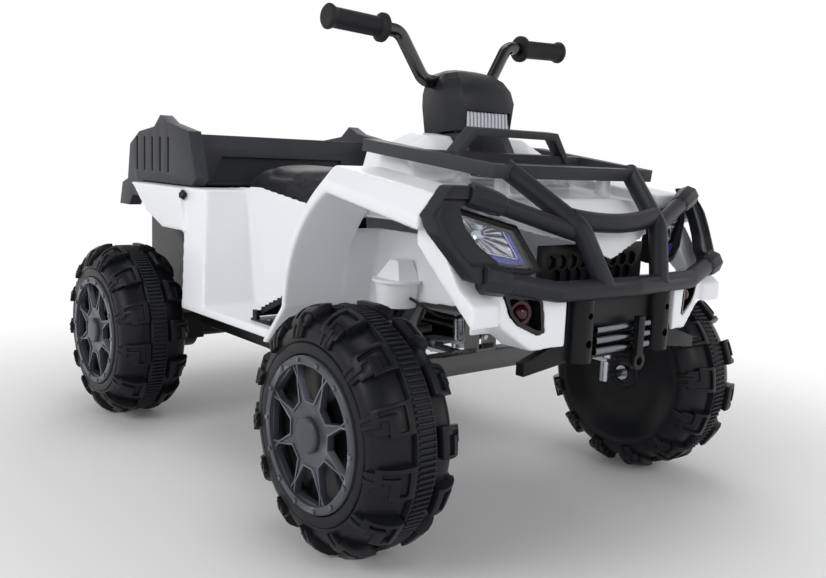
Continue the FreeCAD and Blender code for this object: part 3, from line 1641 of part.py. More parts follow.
def grille_shape():
    """Honeycomb plate behind the nose, on the front of the fascia's bridge."""
    low, top = d.grille_low, d.grille_top
    back = d.fascia_back + d.shell_wall
    plate = block(back, back + d.grille_plate, -d.grille_half, d.grille_half, low, top)
    step_y = d.grille_cell * math.sqrt(3) + d.grille_web
    step_z = step_y * math.sqrt(3) / 2
    rows = int(float((top - low - d.grille_cell) / step_z))
    columns = int(float((d.grille_half - d.grille_cell) / step_y))
    cells = []
    for row in range(rows):
        shift = (row % 2) / 2
        z = low + (top - low) / 2 + step_z * (row - (rows - 1) / 2)
        for column in range(-columns, columns + 1):
            y = step_y * (column + shift)
            if abs(float(y)) > float(d.grille_half - d.grille_cell - d.grille_web):
                continue
            ring = []
            for corner in range(6):
                angle = math.radians(60 * corner + 30)
                ring.append((y + d.grille_cell * math.cos(angle), z + d.grille_cell * math.sin(angle)))
            cells.append(prism_yz(ring, back - d.overrun, back + d.overrun + d.grille_plate))
    return plate.cut(Part.makeCompound(cells))


def hook_shape():
    """Winch hook: a flat shank in front of the rollers, with an eye below the bumper."""
    front = d.bumper_x + d.roller_radius * 2 + d.panel_gap * 2
    low = d.hook_y - d.hook_half
    high = d.hook_y + d.hook_half
    foot = d.roller_low - d.roller_radius - d.panel_gap
    shank = block(front, front + d.hook_depth, low, high, foot - d.hook_shelf, d.hook_top)
    shelf = block(d.bumper_x - d.bumper_back, front + d.hook_depth, low, high, foot - d.hook_shelf, foot)
    eye_z = foot - d.hook_shelf - d.hook_bore_radius
    eye = rod(vec(front, d.hook_y, eye_z), vec(front + d.hook_depth, d.hook_y, eye_z), d.hook_eye_radius)
    bore = rod(
        vec(front - d.overrun, d.hook_y, eye_z), vec(front + d.hook_depth * 2, d.hook_y, eye_z),
        d.hook_bore_radius,
    )
    return fused([shank, shelf, eye]).cut(bore)


def bumper_shape():
    """Back plate, two drilled round posts, the skid wings and the winch hook."""
    back = d.bumper_x - d.bumper_back
    top = d.bull_low_z - d.bar_tube_radius - d.panel_gap
    side = -d.bumper_post_half
    plate = block(back, d.bumper_x, -d.bumper_half, d.bumper_half, d.bumper_low, top)
    post = rod(vec(d.bumper_x, side, d.bumper_low), vec(d.bumper_x, side, top), d.bumper_post_radius)
    skid = prism_yz([
        (-d.skid_half, d.bumper_low - d.skid_drop),
        (-d.bumper_half, d.bumper_low),
        (-d.bumper_half, d.bumper_low + d.skid_height),
        (d.skid_height - d.skid_half, d.fascia_low - d.panel_gap * 2),
        (-d.skid_half, d.bumper_low + d.roller_pitch / 2),
    ], back, d.bumper_x)
    bumper = fused([plate, hook_shape()] + both_sides(post) + both_sides(skid))
    for height, radius in (
        (d.bumper_hole_high, d.bumper_hole_high_radius),
        (d.bumper_hole_low, d.bumper_hole_low_radius),
    ):
        for y in (side, d.bumper_post_half):
            bumper = bumper.cut(rod(vec(0, y, height), vec(d.cut_reach, y, height), radius))
    return bumper


def rollers_shape():
    rollers = []
    x = d.bumper_x + d.roller_radius + d.panel_gap
    for index in range(int(float(d.roller_count))):
        z = d.roller_low + d.roller_pitch * index
        rollers.append(rod(vec(x, -d.roller_half, z), vec(x, d.roller_half, z), d.roller_radius))
    return Part.makeCompound(rollers)


def bull_bar_shape():
    """Uprights, cross bar, lower bar and side tubes, welded into one."""
    low_x = d.bull_low_x
    upright = bent_tube([
        vec(d.bull_top_x, -d.bull_top_half, d.bull_top_z),
        vec(d.bull_bend_x, -d.bull_bend_half, d.bull_bend_z),
        vec(low_x - d.bull_low_sweep / 4, -d.bull_foot_half, d.bull_low_z),
    ], d.bar_tube_radius, d.bull_bend_radius)
    low_arm = guard_arm(*GUARD_LOW_ARM_SHARES)
    bend = vec(low_x - d.bull_low_sweep, -d.bull_low_half, d.bull_low_z)
    lower = bent_tube(
        [low_arm, bend, vec(low_x, 0, d.bull_low_z), mirror_point(bend), mirror_point(low_arm)],
        d.bar_tube_radius, d.bull_bend_radius,
    )
    cross_half = d.bull_bend_half + d.bar_tube_radius / 2
    cross_x = d.bull_bend_x - d.bar_tube_radius
    cross = tube(Part.Wire(Part.Arc(
        vec(cross_x, -cross_half, d.bull_cross_z),
        vec(cross_x + d.bull_cross_sag, 0, d.bull_cross_z - d.bull_cross_sag),
        vec(cross_x, cross_half, d.bull_cross_z),
    ).toShape()), d.bar_tube_radius)
    elbow = d.bar_tube_radius / 2
    side = rod(
        vec(d.bull_bend_x - elbow, -d.bull_bend_half, d.bull_bend_z - elbow),
        guard_arm(*GUARD_TOP_ARM_SHARES), d.side_tube_radius,
    )
    return fused([upright, mirrored(upright), lower, cross, side, mirrored(side)])


def guard_arm(across_share, down_share):
    """A place just in front of the right guard's middle plane, given by its front view shares."""
    wide = d.guard_width * across_share
    tall = d.guard_height * down_share
    x = d.guard_x + wide * GUARD_SWEEP_SHARE + tall * GUARD_LEAN_SHARE + d.guard_thickness / 4
    return vec(x, wide - d.guard_half, d.guard_z - tall)


# Where each slot starts within its bay
SLOT_START_SHARE = 0.25


def rack_shape(cutters):
    """Raked tray with a rim, slots and a flat grab loop, in its own frame (X back to front)."""
    length = d.rack_length
    outline = [
        (0, d.rack_half), (-length, d.rack_rear_half), (-length, d.rack_notch_half),
        (-d.rack_notch, d.rack_notch_half), (-d.rack_notch, -d.rack_notch_half),
        (-length, -d.rack_notch_half), (-length, -d.rack_rear_half), (0, -d.rack_half),
    ]
    tray = prism_xy(outline, 0, d.rack_height)
    rim = d.rack_rim
    recess = block(
        rim - d.rack_notch, -rim, rim - d.rack_half, d.rack_half - rim,
        d.rack_floor, d.rack_height + d.overrun,
    )
    tray = tray.cut(recess)
    count = int(float(d.rack_slot_count))
    bay = (d.rack_notch - rim * 2) / count
    for index in range(count):
        start = rim - d.rack_notch + bay * (index + SLOT_START_SHARE)
        for low, high in ((rim * 2 - d.rack_half, -rim), (rim, d.rack_half - rim * 2)):
            tray = tray.cut(block(start, start + bay / 2, low, high, -d.overrun, d.rack_height))
    thin = d.loop_thickness
    top = d.rack_height + d.loop_height
    loop_back = rim / 2 - d.rack_notch - d.loop_depth / 2
    outer = [
        (-d.loop_foot_half, d.rack_floor), (-d.loop_half, top),
        (d.loop_half, top), (d.loop_foot_half, d.rack_floor),
    ]
    inner = [
        (thin - d.loop_foot_half, d.rack_floor), (thin / 2 - d.loop_half, top - thin),
        (d.loop_half - thin / 2, top - thin), (d.loop_foot_half - thin, d.rack_floor),
    ]
    loop = prism_yz(outer, loop_back, loop_back + d.loop_depth).cut(
        prism_yz(inner, loop_back, loop_back + d.loop_depth)
    )
    rack = fused([tray, loop])
    rack.Placement = rack_frame()
    for cutter in cutters:
        rack = rack.cut(cutter)
    return rack


def make_front_end():
    bull = bull_bar_shape()
    guard = guard_shape()
    housing, lens = headlight_shapes()
    bezel, fog_lens = fog_shapes()
    bumper = bumper_shape()
    hood = hood_shape()
    lamp_rooms = both_sides(lamp_room())
    guards = both_sides(guard)
    for room in lamp_rooms + guards:
        hood = hood.cut(room)
    fog_rooms = both_sides(fog_prism(0).common(fascia_front_slab(-d.fog_depth - d.overrun, d.cut_reach)))
    fascia = fascia_shape(lamp_rooms + guards + fog_rooms + [bumper, bull]).cut(hood)
    guard_cut = main_solid(guard.cut(bull).cut(housing))
    housing_cut = housing.cut(bull)
    piece("hood", hood)
    piece("front_fascia", fascia)
    piece("bull_bar", bull)
    piece("guard_right", guard_cut)
    piece("guard_left", mirrored(guard_cut))
    piece("headlight_housing_right", housing_cut)
    piece("headlight_housing_left", mirrored(housing_cut))
    piece("headlight_lens_right", lens)
    piece("headlight_lens_left", mirrored(lens))
    piece("fog_lamp_bezels", Part.makeCompound(both_sides(bezel.cut(bull))))
    piece("fog_lamp_lenses", Part.makeCompound(both_sides(fog_lens)))
    piece("grille", grille_shape())
    piece("centre_bumper", bumper.cut(bull))
    piece("fairlead_rollers", rollers_shape())
    piece("front_rack", rack_shape([bull]))
    column_way = column_shaft(d.column_room)
    column_way.Placement = column_frame
    piece("steering_shroud", shroud_solid().cut(column_way).cut(hood_solid(d.hood_wall)))
    make_switches()


# Seat stations: share of the length, half width of the sides, foot height, shoulder and crown heights
SEAT_SHARES = [
    (0.0, 0.86, 0.0, 0.46, 0.60),
    (0.12, 0.98, 0.0, 0.54, 0.68),
    (0.42, 1.0, 0.0, 0.52, 0.66),
    (0.66, 0.82, 0.0, 0.52, 0.70),
    (0.86, 0.58, 0.1, 0.64, 0.86),
    (1.0, 0.44, 0.3, 0.74, 0.96),
]


def seat_section(along, wide, foot, shoulder, crown):
    """Flat foot, sides that bulge and draw in, and a crowned top."""
    x = d.seat_length * along - d.seat_rear
    base = d.deck_top + d.panel_gap
    half = d.seat_half * wide
    draw_share = 0.93
    low = base + d.seat_height * foot
    side = base + d.seat_height * (foot + shoulder) / 2
    high = base + d.seat_height * shoulder
    top = base + d.seat_height * crown
    corners = {}
    for sign in (1, -1):
        corners[sign] = (
            vec(x, half * draw_share * sign, low), vec(x, half * sign, side),
            vec(x, half * draw_share * sign, high),
        )
    return Part.Wire([
        Part.makeLine(corners[1][0], corners[-1][0]),
        Part.Arc(*corners[-1]).toShape(),
        Part.Arc(corners[-1][2], vec(x, 0, top), corners[1][2]).toShape(),
        Part.Arc(corners[1][2], corners[1][1], corners[1][0]).toShape(),
    ])


def make_seat():
    cushion = loft([seat_section(*shares) for shares in SEAT_SHARES])
    room = hood_solid(-d.panel_gap)
    piece("seat", cushion.cut(room))


# Cargo side panel, shares of its length forwards from the tail and of its height
CARGO_SHARES = [
    (0.0, 0.0), (0.04, 0.25), (0.12, 0.30), (0.155, 0.69), (0.29, 0.83), (0.49, 0.88), (0.57, 1.0),
    (0.66, 0.92), (0.91, 0.835), (1.0, 0.37), (0.95, 0.295), (0.33, 0.295), (0.52, 0.0), (0.36, 0.0),
    (0.31, 0.12), (0.19, 0.12), (0.14, 0.0),
]


def cargo_side_shape():
    length = d.rear_reach - d.cargo_side_front
    outline = [
        (length * along - d.rear_reach, d.cargo_side_low + d.cargo_side_height * up)
        for along, up in CARGO_SHARES
    ]
    inner = -d.cargo_half - d.panel_gap
    panel = prism_xz(outline, -d.cargo_side_half, inner)
    mid_x = -(d.cargo_rear + d.cargo_front) / 2
    mid = (float(d.cargo_groove_count) - 1) / 2
    low = d.cargo_floor + d.cargo_groove * 3
    high = d.cargo_wall_top - d.cargo_groove
    for index in range(int(float(d.cargo_groove_count))):
        x = mid_x + d.cargo_groove_pitch * (index - mid)
        groove = block(
            x - d.cargo_groove / 2, x + d.cargo_groove / 2, -d.cargo_side_half - d.overrun,
            d.cargo_groove_depth - d.cargo_side_half, low, high,
        )
        panel = panel.cut(groove)
    gap = d.panel_gap
    rear = -rear_skirt_end - gap
    skirt_top = d.boot_top + gap
    skirt_low = d.cargo_side_low - d.overrun
    skirt_room = prism_xz([
        (rear, skirt_top), (rear + d.skirt_slope, skirt_low), (0, skirt_low), (0, skirt_top),
    ], -d.half_track, 0)
    ledge_room = block(rear, 0, -d.half_track, 0, d.boot_top - d.shell_wall - gap, skirt_top)
    return panel.cut(skirt_room).cut(ledge_room)


def cargo_tray_shape():
    plate = d.cargo_plate
    low = d.cargo_floor
    half = d.cargo_half
    front = -d.cargo_front
    floor = block(-d.cargo_rear, front, -half, half, low, low + plate)
    tail = block(-d.cargo_rear, plate - d.cargo_rear, -half, half, low, d.cargo_rear_top)
    wall = prism_xz([
        (front - d.cargo_wall, low), (front, low), (front, d.cargo_wall_top - d.cargo_wall),
        (front - d.cargo_wall / 2, d.cargo_wall_top), (front - d.cargo_wall, d.cargo_wall_top),
    ], -half, half)
    arch_half = d.cargo_arch_half
    shoulder = d.cargo_wall
    arch = prism_yz([
        (-arch_half - shoulder, low + plate),
        (-arch_half, d.cargo_arch_top), (arch_half, d.cargo_arch_top),
        (arch_half + shoulder, low + plate),
    ], front - d.cargo_wall / 2, front + d.overrun)
    return fused([floor, tail, wall.cut(arch)])


def make_rear_end():
    piece("cargo_tray", cargo_tray_shape())
    side = cargo_side_shape()
    piece("cargo_side_right", side)
    piece("cargo_side_left", mirrored(side))


# Horn housing and its wire, inside the right front arch
HORN_CUP_SHARE = 0.86
HORN_CAP_SHARE = 0.8
HORN_CAP_LOW_SHARES = [(-1, -0.7), (1, -0.7), (1, 0.7), (-1, 0.7)]
HORN_CAP_TOP_SHARES = [(-0.1, -0.5), (0.6, -0.5), (0.6, 0.5), (-0.1, 0.5)]
HORN_WIRE_SHARES = (0.6, 1.7)


def make_horn():
    centre = vec(horn_x, -d.horn_half, 0)
    top = d.horn_low + d.horn_height
    roof = top + d.horn_flange_height
    cup = Part.makeCone(
        float(d.horn_radius * HORN_CUP_SHARE), float(d.horn_radius), float(d.horn_height),
        centre + vec(0, 0, d.horn_low),
    )
    flange = rod(centre + vec(0, 0, top), centre + vec(0, 0, roof), d.horn_flange)
    wide = d.horn_radius * HORN_CAP_SHARE
    cap = loft([
        polygon([centre + vec(wide * x, wide * y, height) for x, y in shares])
        for height, shares in ((roof, HORN_CAP_LOW_SHARES), (roof + d.horn_cap, HORN_CAP_TOP_SHARES))
    ])
    wall_plane = d.bay_half + d.shell_wall
    keep_out = block(-d.cut_reach, d.cut_reach, -wall_plane, 0, 0, d.cut_reach)
    housing = fused([cup, flange, cap]).cut(keep_out)
    piece("horn_housing", housing)
    start_share, bend_share = HORN_WIRE_SHARES
    drop = rail_front_low - d.wire_radius
    wire = bent_tube([
        vec(horn_x + d.horn_radius * start_share, -d.horn_half, d.horn_low + d.horn_height / 2),
        vec(horn_x + d.horn_radius * bend_share, -d.horn_half, d.horn_low + d.horn_height / 4),
        vec(front_x - d.bracket_width, -d.rail_y - d.bracket_width, drop - d.wire_radius),
        vec(front_x - d.bracket_width, -d.rail_y, drop - d.panel_gap / 2),
    ], d.wire_radius, d.wire_radius * 4)
    piece("horn_wire", wire.cut(housing))


# Accelerator pedal on the right footboard
PEDAL_BASE_SHARE = 0.7
PEDAL_KNUCKLE_SHARE = 1.2


def make_pedal():
    pin_z = d.board_top + d.pedal_pin_height
    half = d.pedal_width / 2
    ear = d.pedal_ear
    side_y = -d.pedal_half
    base_plate = block(
        pedal_x - d.pedal_pin_height, pedal_x + d.pedal_length * PEDAL_BASE_SHARE,
        side_y - half, side_y + half, d.board_top, d.board_top + d.pedal_base_plate,
    )
    ears = [
        block(
            pedal_x - d.pedal_pin_height / 2, pedal_x + d.pedal_pin_height / 2, low, low + ear,
            d.board_top, pin_z + d.pedal_pin_height / 2,
        )
        for low in (side_y - half, side_y + half - ear)
    ]
    hole = rod(
        vec(pedal_x, side_y - half - d.overrun, pin_z), vec(pedal_x, side_y + half + d.overrun, pin_z),
        d.pedal_pin_radius + d.running_clearance,
    )
    piece("pedal_base", fused([base_plate] + ears).cut(hole))
    inner = half - ear - d.panel_gap
    thick = d.pedal_plate / 2
    plate = block(0, d.pedal_length, -inner, inner, -thick, thick)
    ribs = []
    count = int(float(d.pedal_rib_count))
    pitch = d.pedal_length / (count + 1)
    for index in range(1, count + 1):
        x = pitch * index
        ribs.append(block(x - d.pedal_rib / 2, x + d.pedal_rib / 2, -inner, inner, 0, thick + d.pedal_rib))
    knuckle = rod(vec(0, -inner, 0), vec(0, inner, 0), thick * PEDAL_KNUCKLE_SHARE)
    pin = rod(vec(0, -half, 0), vec(0, half, 0), d.pedal_pin_radius)
    spot = FreeCAD.Placement(
        vec(pedal_x, side_y, pin_z), FreeCAD.Rotation(Y_AXIS, -float(d.pedal_tilt_deg)),
    )
    piece("accelerator_pedal", fused([plate, knuckle, pin] + ribs), spot)


make_wheels()
make_front_axle()
make_frame_and_drive()
make_steering()
piece("body_shell", body_shell_shape())
make_front_end()
make_seat()
make_rear_end()
make_horn()
make_pedal()
doc.recompute()

faults = [item.Name for item in doc.Objects if {"Invalid", "Error"} & set(item.State)]
for item in pieces:
    if item.Shape.isNull() or not item.Shape.isValid() or not item.Shape.Solids:
        faults.append(f"{item.Label}: bad shape")
if faults:
    raise RuntimeError(f"sub-parts that failed: {faults}")

os.makedirs("parts", exist_ok=True)
for item in pieces:
    item.Shape.exportStep(f"parts/{item.Label}.step")
print(f"{len(pieces)} sub-parts written")
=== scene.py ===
import json
import math

import bmesh
import bpy
from mathutils import Matrix, Vector


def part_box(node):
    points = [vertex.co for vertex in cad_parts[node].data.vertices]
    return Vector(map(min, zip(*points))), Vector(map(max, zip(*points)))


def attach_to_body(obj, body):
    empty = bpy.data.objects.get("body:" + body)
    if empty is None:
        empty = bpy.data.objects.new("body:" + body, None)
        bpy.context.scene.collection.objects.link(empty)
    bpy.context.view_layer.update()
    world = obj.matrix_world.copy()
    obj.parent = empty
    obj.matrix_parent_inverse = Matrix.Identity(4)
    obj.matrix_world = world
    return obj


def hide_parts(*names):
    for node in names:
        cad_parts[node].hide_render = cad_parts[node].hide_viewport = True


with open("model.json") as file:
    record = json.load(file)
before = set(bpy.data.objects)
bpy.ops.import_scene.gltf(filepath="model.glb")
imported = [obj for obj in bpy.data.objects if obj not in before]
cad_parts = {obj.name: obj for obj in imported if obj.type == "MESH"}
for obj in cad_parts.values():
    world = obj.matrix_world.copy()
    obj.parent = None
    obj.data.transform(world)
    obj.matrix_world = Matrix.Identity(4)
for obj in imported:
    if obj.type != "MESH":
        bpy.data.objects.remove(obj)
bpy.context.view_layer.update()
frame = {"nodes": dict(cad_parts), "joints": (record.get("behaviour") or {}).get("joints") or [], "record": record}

# Frame: metres, +X forward, +Y to the rider's left, +Z up, origin on the ground under the middle.
NODES = frame["nodes"]
JOINTS = {joint["name"]: joint for joint in frame["joints"]}
SLOT_OF = {part["node"]: part["material_slot"] for part in frame["record"]["subparts"]}
CORNERS = ("front_right", "front_left", "rear_right", "rear_left")
SIDES = {"right": -1, "left": 1}
MM = 0.001


# Colours

def srgb(red, green, blue):
    """Linear colour from screen values between 0 and 255."""
    def linear(value):
        share = value / 255
        return share / 12.92 if share <= 0.04045 else ((share + 0.055) / 1.055) ** 2.4
    return (linear(red), linear(green), linear(blue), 1.0)


def scaled(colour, factor):
    return tuple(min(1.0, channel * factor) for channel in colour[:3]) + (1.0,)


WHITE = srgb(240, 242, 245)
CHARCOAL = srgb(37, 38, 42)
CARGO_GREY = srgb(54, 55, 59)
BLACK = srgb(17, 18, 20)
TYRE_BLACK = srgb(20, 21, 24)
BAND_BLACK = srgb(28, 29, 32)
GRAPHITE = srgb(68, 70, 76)
STEEL_BLACK = srgb(12, 12, 14)
ZINC = srgb(176, 180, 186)
GRIP_BLACK = srgb(24, 25, 28)
LAMP_CHROME = srgb(184, 189, 197)
ROLLER_GREY = srgb(118, 121, 126)
LEATHER = srgb(27, 28, 31)
LED_BLUE = srgb(44, 36, 156)
FOG_RED = srgb(52, 9, 11)
BUTTON_RED = srgb(176, 26, 28)
FLOOR_WHITE = srgb(244, 244, 245)
WALL_WHITE = (1.0, 1.0, 1.0, 1.0)
LENS_TINT = (0.96, 0.97, 1.0, 1.0)


# Materials: colour variation, surface grain and mostly uneven gloss, all made by shader nodes

# Stretch of a noise's values, or of an edge's pointiness, that is spread over a full range
NOISE_STRETCH = (0.3, 0.7)
EDGE_STRETCH = (0.53, 0.62)


class Nodes:
    """The node tree of a material or world, with short ways to add and join nodes."""

    def __init__(self, holder, shader="Principled BSDF", place="Object"):
        holder.use_nodes = True
        self.holder = holder
        self.tree = holder.node_tree
        self.shader = self.tree.nodes[shader]
        self.place = self.add("ShaderNodeTexCoord").outputs[place]

    def add(self, kind, **inputs):
        node = self.tree.nodes.new(kind)
        for name, value in inputs.items():
            self.put(node.inputs[name.replace("_", " ")], value)
        return node

    def put(self, socket, value):
        if isinstance(value, bpy.types.NodeSocket):
            self.tree.links.new(value, socket)
        else:
            socket.default_value = value

    def set(self, **inputs):
        for name, value in inputs.items():
            self.put(self.shader.inputs[name.replace("_", " ")], value)

    def noise(self, scale, detail=2.0, place=None):
        node = self.add("ShaderNodeTexNoise", Scale=scale, Detail=detail, Vector=place or self.place)
        return node.outputs["Fac"]

    def cells(self, scale, feature="F1"):
        node = self.add("ShaderNodeTexVoronoi", Scale=scale, Vector=self.place)
        node.feature = feature
        return node.outputs["Distance"]

    def spread(self, value, low, high, source=NOISE_STRETCH, eased=False):
        """Spreads a stretch of a value between low and high."""
        node = self.add("ShaderNodeMapRange", Value=value)
        if eased:
            node.interpolation_type = "SMOOTHSTEP"
        limits = {"From Min": source[0], "From Max": source[1], "To Min": low, "To Max": high}
        for name, limit in limits.items():
            node.inputs[name].default_value = limit
        return node.outputs["Result"]

    def share(self, value, source=NOISE_STRETCH, eased=False):
        return self.spread(value, 0.0, 1.0, source, eased)

    def calculate(self, operation, *values):
        node = self.tree.nodes.new("ShaderNodeMath")
        node.operation = operation
        for socket, value in zip(node.inputs, values):
            self.put(socket, value)
        return node.outputs[0]

    def mix(self, share, first, second):
        node = self.tree.nodes.new("ShaderNodeMix")
        node.data_type = "RGBA"
        self.put(node.inputs["Factor"], share)
        sockets = [socket for socket in node.inputs if socket.type == "RGBA"]
        self.put(sockets[0], first)
        self.put(sockets[1], second)
        return [socket for socket in node.outputs if socket.type == "RGBA"][0]

    def edges(self):
        """Share that rises on convex edges: paler for wear, and as a painted highlight."""
        pointed = self.add("ShaderNodeNewGeometry").outputs["Pointiness"]
        return self.share(pointed, EDGE_STRETCH)

    def bump(self, height, strength, distance):
        node = self.add("ShaderNodeBump", Strength=strength, Distance=distance, Height=height)
        self.set(Normal=node.outputs["Normal"])


def material_nodes(name):
    return Nodes(bpy.data.materials.new(name))


# Noises by scale and detail, bumps by strength and distance
CLOUD_NOISE = (14.0, 4.0)
GLOSS_NOISE = (55.0, 3.0)
PLASTIC_COAT_ROUGHNESS = 0.08


def moulded(name, colour, roughness, grain, variation=0.06, wear_and_highlight=0.25, coat=0.0, specular=0.22, deep=None):
    """Moulded plastic: cloudy colour, patchy gloss, fine grain (size, depth, strength), paler edges.

    Between the two distances in deep, from the middle plane outwards, black gives way to the colour: painted shade
    in recesses such as the rims' windows."""
    nodes = material_nodes(name)
    grain_size, grain_depth, grain_strength = grain
    cloud = nodes.share(nodes.noise(*CLOUD_NOISE))
    body = nodes.mix(cloud, scaled(colour, 1 - variation), scaled(colour, 1 + variation))
    # Convex edges turn paler: partly wear, partly a painted highlight
    tone = nodes.mix(nodes.edges(), body, scaled(colour, 1 + wear_and_highlight))
    # Painted shade: black deep in a recess, fading to the colour towards its mouth
    if deep:
        across = nodes.add("ShaderNodeSeparateXYZ", Vector=nodes.place).outputs["Y"]
        apart = nodes.calculate("ABSOLUTE", across)
        tone = nodes.mix(nodes.share(apart, deep), BLACK, tone)
    uneven = roughness * variation
    gloss = nodes.spread(nodes.noise(*GLOSS_NOISE), roughness - uneven, roughness + uneven)
    nodes.set(Base_Color=tone, Roughness=gloss, Specular_IOR_Level=specular)
    nodes.set(Coat_Weight=coat, Coat_Roughness=PLASTIC_COAT_ROUGHNESS)
    nodes.bump(nodes.cells(1 / grain_size), grain_strength, grain_depth)
    return nodes.holder


# Streaks by their scale along X, Y and Z
STREAKS_ALONG_X = (4.0, 260.0, 260.0)
STREAKS_ALONG_Y = (260.0, 4.0, 260.0)
EVEN_PATCHES = (40.0, 40.0, 40.0)
STREAK_DETAIL = 3.0
STREAK_TONES = (0.9, 1.06)
STREAK_GLOSS = (0.75, 1.25)
STREAK_BUMP = (0.08, 0.2 * MM)
METAL_COAT_ROUGHNESS = 0.04


def metal(name, colour, roughness, streaks=STREAKS_ALONG_X, metallic=1.0, coat=0.0):
    """Drawn, plated or painted metal with fine streaks."""
    nodes = material_nodes(name)
    stretched = nodes.add("ShaderNodeMapping", Vector=nodes.place, Scale=streaks).outputs["Vector"]
    lines = nodes.noise(1.0, STREAK_DETAIL, stretched)
    dark, pale = (scaled(colour, tone) for tone in STREAK_TONES)
    polished, dull = (roughness * share for share in STREAK_GLOSS)
    nodes.set(Base_Color=nodes.mix(nodes.share(lines), dark, pale))
    nodes.set(Roughness=nodes.spread(lines, polished, dull), Metallic=metallic)
    nodes.set(Coat_Weight=coat, Coat_Roughness=METAL_COAT_ROUGHNESS)
    nodes.bump(lines, *STREAK_BUMP)
    return nodes.holder


FLOW_SCALE = 90.0
FLOW_SHADE = 0.97
FLOW_DULLING = 1.6
FLOW_BUMP = (0.03, 0.3 * MM)
LENS_INDEX = 1.49


def clear(name, tint, roughness):
    """Clear moulded lens with faint flow marks."""
    nodes = material_nodes(name)
    flow = nodes.noise(FLOW_SCALE)
    nodes.set(Base_Color=nodes.mix(nodes.share(flow), tint, scaled(tint, FLOW_SHADE)))
    nodes.set(Roughness=nodes.spread(flow, roughness, roughness * FLOW_DULLING))
    nodes.set(Transmission_Weight=1.0, IOR=LENS_INDEX)
    nodes.bump(flow, *FLOW_BUMP)
    return nodes.holder


PEBBLE_SCALE = 520.0
PEBBLE_GLOSS = (0.36, 0.54)
PEBBLE_STRETCH = (0.1, 0.6)
CREASE_NOISE = (38.0, 5.0)
CREASE_SHADE_TONES = (0.8, 1.25)
CREASE_HEIGHT = 1.6
LEATHER_BUMP = (0.4, 0.6 * MM)


def leather(name, colour):
    """Leatherette: pebbled grain, soft creases with painted shade in their hollows, and a slight sheen."""
    nodes = material_nodes(name)
    pebbles = nodes.cells(PEBBLE_SCALE, "SMOOTH_F1")
    creases = nodes.noise(*CREASE_NOISE)
    # Darker in the creases' hollows and paler on their ridges: painted shade that follows the bump
    dark, pale = (scaled(colour, tone) for tone in CREASE_SHADE_TONES)
    nodes.set(Base_Color=nodes.mix(nodes.share(creases), dark, pale))
    nodes.set(Roughness=nodes.spread(pebbles, *PEBBLE_GLOSS, PEBBLE_STRETCH))
    nodes.set(Sheen_Weight=0.05, Sheen_Roughness=0.5, Specular_IOR_Level=0.3)
    nodes.bump(nodes.calculate("MULTIPLY_ADD", creases, CREASE_HEIGHT, pebbles), *LEATHER_BUMP)
    return nodes.holder


# Length of one band of the wave texture at a scale of 1
WAVE_LENGTH = math.pi / 20
# Share of the colour left in the flutes' grooves: painted shade
FLUTE_SHADE = 0.25
FLUTE_GLOSS_SCALE = 80.0
FLUTE_GLOSS = (0.16, 0.24)
FLUTE_BUMP = (0.6, 0.8 * MM)


def fluted(name, colour, pitch):
    """Bright reflector behind a clear cover, with upright flutes; their grooves are painted dark as shade."""
    nodes = material_nodes(name)
    wave = nodes.add("ShaderNodeTexWave", Vector=nodes.place, Scale=WAVE_LENGTH / pitch)
    wave.bands_direction = "Y"
    lines = wave.outputs["Fac"]
    # Painted shade: the colour darkens where the flutes' bump is low
    nodes.set(Base_Color=nodes.mix(lines, scaled(colour, FLUTE_SHADE), colour))
    nodes.set(Metallic=0.85, Roughness=nodes.spread(nodes.noise(FLUTE_GLOSS_SCALE), *FLUTE_GLOSS))
    nodes.set(Coat_Weight=1.0, Coat_Roughness=0.03)
    nodes.bump(lines, *FLUTE_BUMP)
    return nodes.holder


LIT_GRAIN_SCALE = 420.0
LIT_GRAIN_STRETCH = (0.1, 0.5)
LIT_TONES = (1.9, 0.8)
LIT_BUMP = (0.4, 0.4 * MM)


def lit(name, colour, strength):
    """Coloured lamp strip: translucent plastic with bright grains and a faint glow."""
    nodes = material_nodes(name)
    grains = nodes.cells(LIT_GRAIN_SCALE)
    bright, dim = (scaled(colour, tone) for tone in LIT_TONES)
    tone = nodes.mix(nodes.share(grains, LIT_GRAIN_STRETCH), bright, dim)
    nodes.set(Base_Color=tone, Emission_Color=tone, Emission_Strength=strength, Roughness=0.22)
    nodes.bump(grains, *LIT_BUMP)
    return nodes.holder


# Grains by size, depth and strength
SMOOTH_GRAIN = (1.1 * MM, 0.005 * MM, 0.05)
SATIN_GRAIN = (0.9 * MM, 0.06 * MM, 0.3)
COARSE_GRAIN = (1.1 * MM, 0.1 * MM, 0.35)
# Distances from the middle plane between which the rims' windows turn black: painted shade in their recesses
WINDOW_SHADE_DEPTHS = (324 * MM, 333 * MM)
